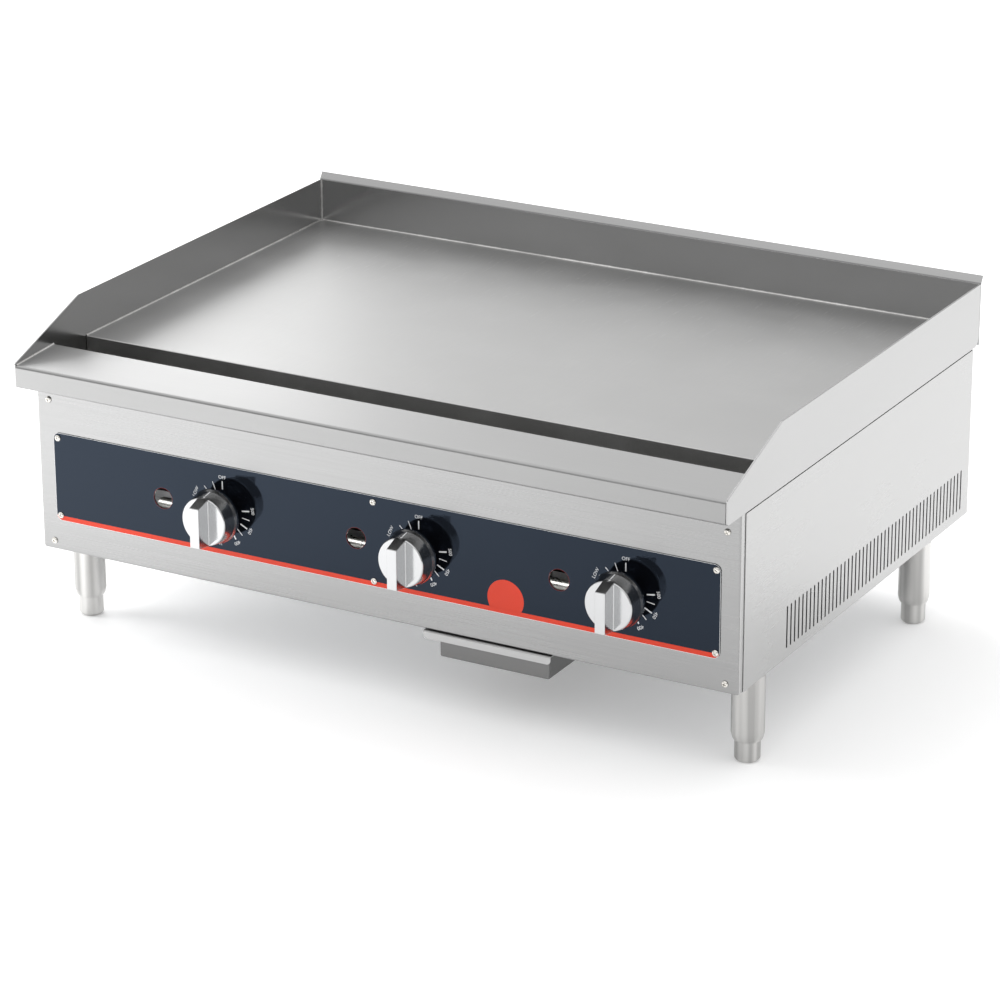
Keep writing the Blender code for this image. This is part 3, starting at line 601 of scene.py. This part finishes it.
sx_in, sx_out = 455.0, lim("right_splash_guard")[1]
s0 = lim("right_splash_guard")
outline = (arc(s0[2] + 3.0, s0[4] + 3.0, 3.0, 270, 180, 6)
           + [(s0[2], lz1 - 3.6), (s0[2] + 0.5, lz1 - 2.2), (s0[2] + 1.8, lz1 - 1.0)]
           + [(129.0, s0[5] - 0.75), (130.4, s0[5] - 0.15), (132.2, s0[5]), (s0[3] - 1.0, s0[5]), (s0[3], s0[5] - 1.0)]
           + arc(s0[3] - 10.0, s0[4] + 10.0, 10.0, 0, -90, 10))
for side, sign in (("left", -1), ("right", 1)):
    a, b = sorted((sign * (sx_out - 2.0), sign * sx_out))
    prism(side + "_splash_sheet", outline, a, b, "x", "splash_side", edge=0.35, segs=3, slot="splash_stainless",
          replaces=(side + "_splash_guard",))

r0 = lim("rear_splash_guard")
sheet("rear_splash_sheet", [(673.0, r0[4]), (673.0, 389.0), (678.4, 397.6)], 2.0, r0[0], r0[1], "x", "splash_rear",
      radius=4.0, edge=0.35, slot="splash_stainless", replaces=("rear_splash_guard",))


def fillet(leg):
    """Concave weld fillet in a right corner at (0, 0), legs along +a and +b."""
    pts = [(0.0, 0.0), (leg, 0.0)]
    pts += [(leg - leg * math.sin(math.radians(t)), leg - leg * math.cos(math.radians(t))) for t in (18, 36, 54, 72)]
    pts += [(0.0, leg)]
    return pts


def bead(name, start, end, a_dir, b_dir, leg=2.4, steps=90, seed=1.0):
    """A weld bead along a corner, its size rippling a little."""
    bm = bmesh.new()
    rings = []
    start, end = Vector(start), Vector(end)
    a_dir, b_dir = Vector(a_dir), Vector(b_dir)
    for i in range(steps + 1):
        t = i / steps
        k = leg * (1 + 0.10 * math.sin(i * 2.1 + seed) + 0.07 * math.sin(i * 5.3 + seed * 2))
        at = start.lerp(end, t)
        rings.append([bm.verts.new(P(*(at + a_dir * a + b_dir * b))) for a, b in fillet(k)])
    n = len(rings[0])
    for r0_, r1_ in zip(rings, rings[1:]):
        for i in range(n):
            bm.faces.new((r0_[i], r0_[(i + 1) % n], r1_[(i + 1) % n], r1_[i]))
    bm.faces.new(rings[0])
    bm.faces.new(rings[-1])
    return finish_mesh(name, bm, "weld", slot="splash_stainless", angle=60)


top = pz1
back = 672.0
bead("weld_plate_left", (-sx_in, py0 + 1, top), (-sx_in, back, top), (1, 0, 0), (0, 0, 1), 1.7, 140, 0.4)
bead("weld_plate_right", (sx_in, py0 + 1, top), (sx_in, back, top), (-1, 0, 0), (0, 0, 1), 1.7, 140, 1.7)
bead("weld_plate_rear", (-sx_in + 2, back, top), (sx_in - 2, back, top), (0, -1, 0), (0, 0, 1), 1.7, 220, 2.9)
bead("weld_corner_left", (-sx_in, back, top + 1), (-sx_in, back, 388.0), (1, 0, 0), (0, -1, 0), 1.8, 20, 3.1)
bead("weld_corner_right", (sx_in, back, top + 1), (sx_in, back, 388.0), (-1, 0, 0), (0, -1, 0), 1.8, 20, 4.2)
slope = (4.0) / (ly1 - 1.5)
for side, sign in (("left", -1), ("right", 1)):
    bead(f"weld_ledge_{side}", (sign * sx_in, 3.0, lz1 - 3.85), (sign * sx_in, ly1 - 2, lz1), (-sign, 0, 0), (0, 0, 1), 1.6, 40, 5.0)

dress("grease_trough", "trough", 0.5)
dress("drain_chute", "body_x", 0.3)

# ------------------------------------------------------------------ front panel
fx0, fx1, fy0, fy1, fz0, fz1 = lim("front_panel")
DIALS = [sum(lim(z + "_shaft")[:2]) / 2 for z in ("left", "middle", "right")]
DIAL_Z = sum(lim("middle_shaft")[4:]) / 2
ox0, ox1, oy0, oy1, oz0, oz1 = lim("control_overlay")
SIGHT = -81.9
SIGHT_R = 12.5

bm = bmesh.new()
add_box(bm, fx0, fx1, fy0, fy1, fz0, fz1)
bm.normal_update()
bmesh.ops.delete(bm, geom=[f for f in bm.faces if f.normal.y > 0.9 or f.normal.z > 0.9], context="FACES")
fold = [e for e in bm.edges if len(e.link_faces) == 2]
bmesh.ops.bevel(bm, geom=fold, offset=0.0022, segments=6, profile=0.5, affect="EDGES", clamp_overlap=True)
bmesh.ops.solidify(bm, geom=bm.faces[:], thickness=0.0012)
panel = finish_mesh("front_panel_sheet", bm, "body_x", slot="body_stainless", replaces=("front_panel",))
cut = bmesh.new()
for x in DIALS:
    add_rod(cut, x, DIAL_Z, 6.0, fy0 - 4, fy0 + 4, 32)
    add_rod(cut, x + SIGHT, DIAL_Z, SIGHT_R, fy0 - 4, fy0 + 4, 48)
cut_mesh(panel, cut)


def plane_sheet(name, loops, y_front, thick, mat, edge=0.0, **kw):
    """A flat sheet facing the front: the first loop outside, the rest holes, all (x, z)."""
    curve = bpy.data.curves.new(name, "CURVE")
    curve.dimensions = "2D"
    curve.fill_mode = "BOTH"
    curve.extrude = thick * 0.0005
    curve.bevel_depth = edge * 0.001
    curve.bevel_resolution = 1
    curve.offset = -edge * 0.001
    for loop in loops:
        spline = curve.splines.new("POLY")
        spline.points.add(len(loop) - 1)
        for point, (a, b) in zip(spline.points, loop):
            point.co = (a * 0.001, b * 0.001, 0.0, 1.0)
        spline.use_cyclic_u = True
    tmp = bpy.data.objects.new(name + "_tmp", curve)
    SCENE.collection.objects.link(tmp)
    mesh = bpy.data.meshes.new_from_object(tmp.evaluated_get(bpy.context.evaluated_depsgraph_get()))
    bpy.data.objects.remove(tmp, do_unlink=True)
    bpy.data.curves.remove(curve)
    at = P(0, y_front + thick / 2, 0)
    mesh.transform(Matrix.Translation(at) @ Matrix(((1, 0, 0, 0), (0, 0, -1, 0), (0, 1, 0, 0), (0, 0, 0, 1))))
    bm = bmesh.new()
    bm.from_mesh(mesh)
    bmesh.ops.remove_doubles(bm, verts=bm.verts, dist=1e-6)
    bpy.data.meshes.remove(mesh)
    return finish_mesh(name, bm, mat, **kw)


OVER = [rounded(ox0, ox1, oz0, oz1, 8.0, 14)]
OVER += [arc(x, DIAL_Z, 6.0, 0, 360, 32)[:-1] for x in DIALS]
OVER += [arc(x + SIGHT, DIAL_Z, SIGHT_R, 0, 360, 64)[:-1] for x in DIALS]
plane_sheet("control_overlay_film", OVER, oy0, oy1 - oy0, "navy", slot="overlay_print", replaces=("control_overlay",))

# printed stripe, the panel's generic red dome, dial marks; all stand 0.06 mm proud of the film
INK = 0.06
STRIPE = 6.0


def stripe_loop():
    r, low = 8.0, oz0
    pts = []
    # lower right corner, from the stripe's top edge round to the bottom, then the left one
    a_end = math.degrees(math.asin((r - STRIPE) / r))
    pts += arc(ox1 - r, low + r, r, -a_end, -90, 10)
    pts += arc(ox0 + r, low + r, r, -90, -180 + a_end, 10)
    return pts


def ink(name, loop, mat="white", **kw):
    return prism(name, loop, oy0 - INK, oy0 + 0.02, "y", mat, edge=0.0, slot="overlay_print", **kw)


ink("print_stripe", stripe_loop(), "red")
# a white ring round the film's cut edge: a painted highlight for the light the edge catches all round
plane_sheet("overlay_rim_painted_highlight", [rounded(ox0, ox1, oz0, oz1, 8.0, 14), rounded(ox0 + 0.35, ox1 - 0.35, oz0 + 0.35, oz1 - 0.35, 7.7, 14)],
            oy0 - 0.08, 0.09, "edge_highlight_paint", slot="overlay_print")
ex, ez = 169.0, oz0 + STRIPE - 0.2
dome = [(ex - 20.0, ez)] + [(ex + 23.0 * math.cos(math.radians(t)), ez + 12.0 + 23.0 * math.sin(math.radians(t)))
                            for t in range(205, -30, -6)] + [(ex + 20.0, ez)]
ink("print_dome", dome, "red")

MARKS = [(0, 1.5, "OFF"), (-21.7, 1.0, None), (-43.5, 1.0, None), (-65.2, 1.5, "LOW"), (81, 1.7, "500"), (99, 1.0, None),
         (117, 1.7, "450"), (135, 1.0, None), (153, 1.7, "400"), (171, 1.0, None), (189, 1.7, "350"), (207, 1.0, None),
         (225, 1.7, "300"), (243, 1.0, None), (261, 1.7, "250")]


def label(name, text, x, z, turn, height=4.2):
    font = bpy.data.curves.new(name, "FONT")
    font.body = text
    font.size = height * 0.001 / 0.72
    font.align_x = "CENTER"
    font.align_y = "CENTER"
    font.offset = -0.00002
    font.extrude = INK * 0.0005
    font.resolution_u = 4
    tmp = bpy.data.objects.new(name + "_tmp", font)
    SCENE.collection.objects.link(tmp)
    mesh = bpy.data.meshes.new_from_object(tmp.evaluated_get(bpy.context.evaluated_depsgraph_get()))
    bpy.data.objects.remove(tmp, do_unlink=True)
    bpy.data.curves.remove(font)
    stand = Matrix(((1, 0, 0, 0), (0, 0, -1, 0), (0, 1, 0, 0), (0, 0, 0, 1)))
    mesh.transform(Matrix.Translation(P(x, oy0 - INK / 2, z)) @ Matrix.Rotation(math.radians(turn), 4, "Y") @ stand)
    bm = bmesh.new()
    bm.from_mesh(mesh)
    bmesh.ops.remove_doubles(bm, verts=bm.verts, dist=1e-7)
    bpy.data.meshes.remove(mesh)
    return finish_mesh(name, bm, "white", slot="overlay_print")


for zone, x in zip(("left", "middle", "right"), DIALS):
    for i, (angle, width, text) in enumerate(MARKS):
        a = math.radians(angle)
        out, cross = Vector((math.sin(a), math.cos(a))), Vector((math.cos(a), -math.sin(a)))
        centre = Vector((x, DIAL_Z))
        loop = [centre + out * r + cross * w for r, w in ((26.0, -width / 2), (36.0, -width / 2), (36.0, width / 2), (26.0, width / 2))]
        ink(f"print_{zone}_tick_{i}", [(p.x, p.y) for p in loop])
        if text:
            at = centre + out * 40.4
            label(f"print_{zone}_{text}", text, at.x, at.y, angle)
    # the film's edge round each sight hole shows the red backing
    ring = arc(x + SIGHT, DIAL_Z, SIGHT_R + 0.3, 0, 360, 64)[:-1]
    plane_sheet(f"print_{zone}_sight_rim", [ring, arc(x + SIGHT, DIAL_Z, SIGHT_R + 0.02, 0, 360, 64)[:-1]], oy0 - INK, INK + 0.02,
                "dark_red", slot="overlay_print")

# ------------------------------------------------------------------ screws: pan heads with a cross recess
def cross_screw(name, node_name, turn):
    b = lim(node_name)
    x, z, y = (b[0] + b[1]) / 2, (b[4] + b[5]) / 2, b[2]
    prof = rounded_profile([(0.0, 2.3), (2.6, 2.25), (3.9, 1.0), (4.0, 0.25), (2.0, 0.25), (2.0, -6.0), (0.0, -6.0)],
                           [1.2, 1.0, 0.1, 0.0, 0.0], 4)
    obj = lathe(name, prof, (x, y + 2.3, z), (0, -1, 0), "screw", 32, slot="plated_steel", replaces=(node_name,), angle=30)
    cut = bmesh.new()
    arm, w = 2.3, 0.55
    plus = [(w, arm), (-w, arm), (-w, w), (-arm, w), (-arm, -w), (-w, -w), (-w, -arm), (w, -arm), (w, -w), (arm, -w), (arm, w), (w, w)]
    rings = []
    for depth, k in ((-0.5, 1.05), (1.7, 0.55)):
        row = []
        for a, c in plus:
            q = Matrix.Rotation(math.radians(turn), 2) @ Vector((a * k, c * k))
            row.append(cut.verts.new(P(x + q.x, y + depth, z + q.y)))
        rings.append(row)
    for k in range(12):
        cut.faces.new((rings[0][k], rings[0][(k + 1) % 12], rings[1][(k + 1) % 12], rings[1][k]))
    cut.faces.new(rings[0])
    cut.faces.new(rings[1])
    return cut_mesh(obj, cut)


for i in range(1, 5):
    cross_screw(f"panel_screw_{i}_cross", f"panel_screw_{i}", (12, 50, 31, 75)[i - 1])
for i in range(1, 7):
    cross_screw(f"overlay_screw_{i}_cross", f"overlay_screw_{i}", (20, 64, 8, 41, 55, 28)[i - 1])

# ------------------------------------------------------------------ knobs
for zone, x in zip(("left", "middle", "right"), DIALS):
    body = zone + "_control"
    centre = (x, fy0, DIAL_Z)
    out = (0, -1, 0)
    cap = rounded_profile([(30.5, 19.0), (32.6, 19.0), (32.6, 22.0), (31.4, 26.0), (28.8, 41.4), (27.9, 42.4), (8.0, 42.4), (0.0, 42.4)],
                          [0.3, 1.0, 1.2, 2.0, 0.5, 0.5, 0.0], 4)
    inner = [(0.0, 38.8), (26.2, 38.8), (30.2, 22.0)]
    lathe(zone + "_knob_cap", cap + inner, centre, out, "chrome", 96, closed=True, body=body, slot="knob_chrome",
          replaces=(zone + "_knob",))
    # grip bar
    bm = bmesh.new()
    bmesh.ops.create_cube(bm, size=1.0)
    for v in bm.verts:
        front, up = v.co.y < 0, v.co.z > 0
        w = 6.2 if front else 6.9
        z = (22.3 if up else -25.6) if front else (29.3 if up else -28.2)
        v.co = P(x + math.copysign(w, v.co.x), fy0 - (61.2 if front else 39.2), DIAL_Z + z)
    finish_mesh(zone + "_knob_grip", bm, "chrome", body=body, slot="knob_chrome", edge=0.7, segs=4, edge_angle=30)
    # the small fillet where the bar's sides meet the disc
    for side, sign in (("left", -1), ("right", 1)):
        prism(f"{zone}_knob_fillet_{side}", [(x + sign * 6.5, fy0 - 42.2), (x + sign * 7.6, fy0 - 42.3), (x + sign * 6.7, fy0 - 43.4)],
              DIAL_Z - 26.2, DIAL_Z + 26.0, "z", "chrome", edge=0.0, body=body, slot="knob_chrome")
    # hub that takes the shaft
    lathe(zone + "_knob_hub", [(9.0, 39.0), (9.0, 5.4), (8.6, 5.0), (3.5, 5.0), (3.5, 31.0), (0.0, 31.0), (0.0, 39.0)], centre,
          out, "skirt", 40, body=body, slot="knob_chrome")
    # white pointer: dot and line on the cap's wall at the top
    def on_wall(h):
        return 31.4 + (28.8 - 31.4) * (h - 26.0) / (41.4 - 26.0)
    bm = bmesh.new()
    for h0, h1, w in ((26.6, 36.4, 0.55),):
        pts = []
        for dx, h in ((-w, h0), (w, h0), (w, h1), (-w, h1)):
            for lift in (0.08, -0.3):
                pts.append(bm.verts.new(P(x + dx, fy0 - h, DIAL_Z + on_wall(h) + lift)))
        t, u = pts[0::2], pts[1::2]
        bm.faces.new(t)
        bm.faces.new(u)
        for i in range(4):
            bm.faces.new((t[i], t[(i + 1) % 4], u[(i + 1) % 4], u[i]))
    finish_mesh(zone + "_knob_pointer", bm, "white", body=body, slot="knob_chrome")
    tilt = math.atan2(28.8 - 31.4, 41.4 - 26.0)
    nrm = Vector((0, math.sin(tilt), math.cos(tilt)))
    lathe(zone + "_knob_dot", [(0.0, 0.12), (0.9, 0.10), (1.25, -0.02), (1.25, -0.5), (0.0, -0.5)],
          (x, fy0 - 38.8, DIAL_Z + on_wall(38.8)), nrm, "white", 24, body=body, slot="knob_chrome")

# the front panel's side returns, which close the corner up to the side panels
for side, sign in (("left", -1), ("right", 1)):
    near, far = sorted((sign * 453.2, sign * 455.3))
    prism(f"{side}_corner_return", [(near, fy0 + 1.6), (far, fy0 + 1.6), (far, fy0 + 8.7), (near, fy0 + 8.7)], fz0 + 1.5, fz1 - 1.5, "z",
          "body_y", edge=0.5, slot="body_stainless")

# ------------------------------------------------------------------ side panels with their slots
for side, sign in (("left", -1), ("right", 1)):
    b = lim(side + "_side_panel")
    outer = b[1] if sign > 0 else -b[0]
    wall = sign * (outer - 0.6)
    flange = sign * (outer - 45.0)
    obj = sheet(side + "_side_sheet", [(flange, b[4] + 0.6), (wall, b[4] + 0.6), (wall, b[5])], 1.2, b[2], b[3], "y", "body_y",
                radius=2.0, edge=0.3, slot="body_stainless", replaces=(side + "_side_panel",))
    cut = bmesh.new()
    lo_x, hi_x = sorted((wall - 3, wall + 3))
    for i in range(49):
        y = 155.0 + 10.0 * i
        loop = rounded(y - 1.6, y + 1.6, 117.0, 166.5, 1.0, 3)
        r0_ = [cut.verts.new(P(lo_x, *p)) for p in loop]
        r1_ = [cut.verts.new(P(hi_x, *p)) for p in loop]
        n = len(loop)
        for k in range(n):
            cut.faces.new((r0_[k], r0_[(k + 1) % n], r1_[(k + 1) % n], r1_[k]))
        cut.faces.new(r0_)
        cut.faces.new(r1_)
    cut_mesh(obj, cut)

dress("rear_panel", "galvanised", 0.3)
dress("bottom_pan", "galvanised", 0.3)
dress("burner_box_front", "shield", 0.3)
dress("burner_rear_support", "galvanised", 0.3)
dress("left_drawer_rail", "galvanised", 0.3)
dress("right_drawer_rail", "galvanised", 0.3)

# ------------------------------------------------------------------ grease drawer
d0 = lim("grease_drawer")
dx0, dx1 = 75.0, 215.0
bm = bmesh.new()
add_box(bm, dx0, dx1, 54.0, 432.0, d0[4], 102.0)
bm.normal_update()
bmesh.ops.delete(bm, geom=[f for f in bm.faces if f.normal.z > 0.9], context="FACES")
bmesh.ops.bevel(bm, geom=[e for e in bm.edges if len(e.link_faces) == 2], offset=0.0025, segments=5, profile=0.5,
                affect="EDGES", clamp_overlap=True)
bmesh.ops.solidify(bm, geom=bm.faces[:], thickness=0.0012)
finish_mesh("grease_drawer_tray", bm, "drawer", body="drawer", slot="body_stainless", replaces=("grease_drawer",))
for side, a, b in (("left", dx0 - 10.0, dx0 + 0.4), ("right", dx1 - 0.4, dx1 + 10.0)):
    prism(f"grease_drawer_{side}_flange", rounded(a, b, 56.0, 430.0, 0.9, 3), 100.0, 101.2, "z", "drawer", edge=0.2,
          body="drawer", slot="body_stainless")
lipx0, lipx1 = d0[0] + (0.0 if d0[0] > 60 else 0.0), d0[1]
lip = sheet("grease_drawer_lip", [(55.0, d0[5] - 0.6), (d0[2] + 0.6, d0[5] - 0.6), (d0[2] + 0.6, 93.0)], 1.2, lipx0, lipx1, "x",
            "ledge", radius=1.6, edge=0.25, body="drawer", slot="body_stainless")
cut = bmesh.new()
for cx, s in ((lipx0, 1), (lipx1, -1)):   # lower corners of the lip rounded off
    r = 5.0
    pts = [(cx - s * 2, 90.0), (cx + s * r, 90.0)] + [(cx + s * (r - r * math.sin(math.radians(t))), 93.0 + r - r * math.cos(math.radians(t)))
                                                     for t in range(0, 91, 15)] + [(cx - s * 2, 93.0 + r)]
    a_ = [cut.verts.new(P(p[0], d0[2] - 3, p[1])) for p in pts]
    b_ = [cut.verts.new(P(p[0], d0[2] + 5, p[1])) for p in pts]
    n = len(pts)
    for k in range(n):
        cut.faces.new((a_[k], a_[(k + 1) % n], b_[(k + 1) % n], b_[k]))
    cut.faces.new(a_)
    cut.faces.new(b_)
cut_mesh(lip, cut)

# ------------------------------------------------------------------ legs
for fb in ("front", "rear"):
    for side in ("left", "right"):
        n = f"{fb}_{side}"
        b = lim(n + "_leg")
        cx, cy = (b[0] + b[1]) / 2, (b[2] + b[3]) / 2
        R, zt, zb = 19.0, b[5], b[4]
        prof = rounded_profile([(0.0, zt), (R, zt), (R, zb + 8.6), (17.6, zb + 2.4), (16.3, zb), (15.15, zb), (15.15, 84.0), (0.0, 84.0)],
                               [0.4, 3.2, 2.4, 0.4, 0.1, 0.0], 5)
        lathe(n + "_leg_sleeve", prof, (cx, cy, 0), (0, 0, 1), "leg", 72, slot="leg_steel", replaces=(n + "_leg",), angle=40)
        f = lim(n + "_foot")
        prof = rounded_profile([(0.0, f[5]), (14.6, f[5]), (14.75, f[5] - 0.5), (14.75, 3.0), (12.4, 0.0), (0.0, 0.0)],
                               [0.2, 0.0, 0.8, 0.4], 4)
        lathe(n + "_foot_insert", prof, (cx, cy, f[4]), (0, 0, 1), "leg", 72, body=n + "_foot_stem", slot="leg_steel",
              replaces=(n + "_foot",), angle=40)

# ------------------------------------------------------------------ gas train and burners, seen through the openings
man = lim("gas_manifold")
mcy, mcz = (man[2] + man[3]) / 2, (man[4] + man[5]) / 2
pr = (man[5] - man[4]) / 2
lathe("gas_manifold_pipe", rounded_profile([(0.0, 0.0), (pr, 0.0), (pr, man[1] - man[0]), (10.4, man[1] - man[0]), (10.4, 4.0), (0.0, 4.0)],
                                           [1.0, 0.3, 0.3, 0.0], 3),
      (man[0], mcy, mcz), (1, 0, 0), "plated", 48, slot="plated_steel", replaces=("gas_manifold",))
dress("gas_inlet_pipe", "pipe", 0.0)
for zone, x in zip(("left", "middle", "right"), DIALS):
    dress(zone + "_thermostat", "zinc", 0.6)
    dress(zone + "_orifice", "brass", 0.3)
    dress(zone + "_air_shutter", "plated", 0.2)
    dress(zone + "_shaft", "plated", 0.2)
    b = lim(zone + "_burner")
    zc = (b[4] + b[5]) / 2
    R = 19.0
    path = [(x, b[2], zc), (x, 545.0, zc)]
    path += [(x - 58.0 + 58.0 * math.cos(math.radians(t)), 545.0 + 58.0 * math.sin(math.radians(t)), zc) for t in range(9, 181, 9)]
    path += [(x - 116.0, 215.0, zc)]
    tube(zone + "_burner_tube", path, R, "aluminised", replaces=(zone + "_burner",), cap=False)
    lathe(zone + "_burner_end", rounded_profile([(0.0, -0.2), (R, -0.2), (R, 2.0)], [1.5], 3), (x - 116.0, 215.0, zc), (0, 1, 0),
          "aluminised", 44, slot="aluminised_steel", angle=40)
    dress(zone + "_pilot_burner", "brass", 0.0)

# ------------------------------------------------------------------ stage: floor, light, camera
floor_mat, nt, bsdf = new_mat("studio_floor", (0.88, 0.88, 0.88), 0.9, 0.0, Emission_Color=(1, 1, 1, 1), Emission_Strength=0.30)
soft = noise(nt, coords(nt, (0.6, 0.6, 0.6)), 1.0, 2.0, 0.5)
nt.links.new(mixc(nt, soft, (0.87, 0.87, 0.87), (0.89, 0.89, 0.89)), bsdf.inputs["Base Color"])
sepf = node(nt, "ShaderNodeSeparateXYZ")
nt.links.new(coords(nt, (1.0, 1.0, 1.0)), sepf.inputs[0])
# painted light on the floor: a constant glow lightens it and its shadows, and a pool of glow brighter towards the
# front-left is reflected by the metal
painted_light_west = ramp(nt, sepf.outputs["X"], -0.75, 0.15, 1.0, 0.0)
painted_light_ahead = ramp(nt, sepf.outputs["Y"], -0.62, -0.40, 1.0, 0.0)
painted_light_pool = math_(nt, "MULTIPLY", math_(nt, "MULTIPLY", painted_light_west, painted_light_ahead), 0.56)
nt.links.new(math_(nt, "ADD", painted_light_pool, 0.235), bsdf.inputs["Emission Strength"])
bm = bmesh.new()
bmesh.ops.create_grid(bm, x_segments=8, y_segments=8, size=14.0)
mesh = bpy.data.meshes.new("studio_floor")
bm.to_mesh(mesh)
bm.free()
mesh.materials.append(floor_mat)
floor = bpy.data.objects.new("studio_floor", mesh)
SCENE.collection.objects.link(floor)
floor.location = (0, 0, CAD_LO.z - 0.0005)

world = bpy.data.worlds.new("studio")
SCENE.world = world
world.use_nodes = True
wt = world.node_tree
bg = wt.nodes["Background"]
tc = node(wt, "ShaderNodeTexCoord")
dot = node(wt, "ShaderNodeVectorMath", operation="DOT_PRODUCT")
dot.inputs[1].default_value = Vector((-0.94, 0.34, 0.0)).normalized()
wt.links.new(tc.outputs["Generated"], dot.inputs[0])
side_fac = ramp(wt, dot.outputs["Value"], 0.50, 0.92)
horizon = mixc(wt, side_fac, (0.52, 0.52, 0.52), (1.55, 1.55, 1.55))
sepw = node(wt, "ShaderNodeSeparateXYZ")
wt.links.new(tc.outputs["Generated"], sepw.inputs[0])
sky = mixc(wt, ramp(wt, sepw.outputs["Z"], 0.42, 0.80), horizon, (1.30, 1.30, 1.30))
wt.links.new(sky, bg.inputs["Color"])
bg.inputs["Strength"].default_value = 1.0


def area(name, at, look, size, power, shape="RECTANGLE"):
    data = bpy.data.lights.new(name, "AREA")
    data.shape = shape
    data.size, data.size_y = size
    data.energy = power
    obj = bpy.data.objects.new(name, data)
    SCENE.collection.objects.link(obj)
    obj.location = at
    obj.rotation_mode = "QUATERNION"
    obj.rotation_quaternion = (Vector(look) - Vector(at)).to_track_quat("-Z", "Y")
    return obj


rim = area("rim_softbox", (-1.45, 1.05, 0.85), (-0.35, 0.0, 0.33), (0.95, 0.7), 2.9)
rim.visible_camera = False
key = area("key_softbox", (-1.5, 1.7, 2.6), (-0.1, -0.1, 0.0), (1.7, 1.7), 62)
fill = area("fill_softbox", (-2.1, -0.9, 1.1), (-0.9, -0.7, 0.0), (1.0, 0.8), 20)
for zone, x in zip(("left", "middle", "right"), DIALS):   # what little light gets in over the gas manifold
    cavity = area(zone + "_cavity", P(x + SIGHT - 18.0, 62.0, 226.0), P(x + SIGHT - 18.0, 63.0, 180.0), (0.10, 0.010), 0.02)
    cavity.visible_camera = False
for lamp in (key, fill):   # soft light on the stage; the metal mirrors the room, not the lamps
    lamp.visible_glossy = False

yaw, pitch, roll = math.radians(29.353), math.radians(21.005), math.radians(-0.2415)
fwd = Vector((-math.sin(yaw) * math.cos(pitch), math.cos(yaw) * math.cos(pitch), -math.sin(pitch)))
right = Vector((math.cos(yaw), math.sin(yaw), 0))
up = right.cross(fwd)
r2 = right * math.cos(roll) + up * math.sin(roll)
u2 = -right * math.sin(roll) + up * math.cos(roll)
cam_data = bpy.data.cameras.new("view_camera")
cam_data.lens = 144.37
cam_data.sensor_width = 36.0
cam_data.clip_start, cam_data.clip_end = 0.1, 60.0
cam = bpy.data.objects.new("view_camera", cam_data)
SCENE.collection.objects.link(cam)
eye = P(2167.4, -3526.9, 1846.4)
cam.matrix_world = Matrix(((r2.x, u2.x, -fwd.x, eye.x), (r2.y, u2.y, -fwd.y, eye.y), (r2.z, u2.z, -fwd.z, eye.z), (0, 0, 0, 1)))
SCENE.camera = cam
SCENE.view_settings.view_transform = "Standard"

bpy.context.view_layer.update()
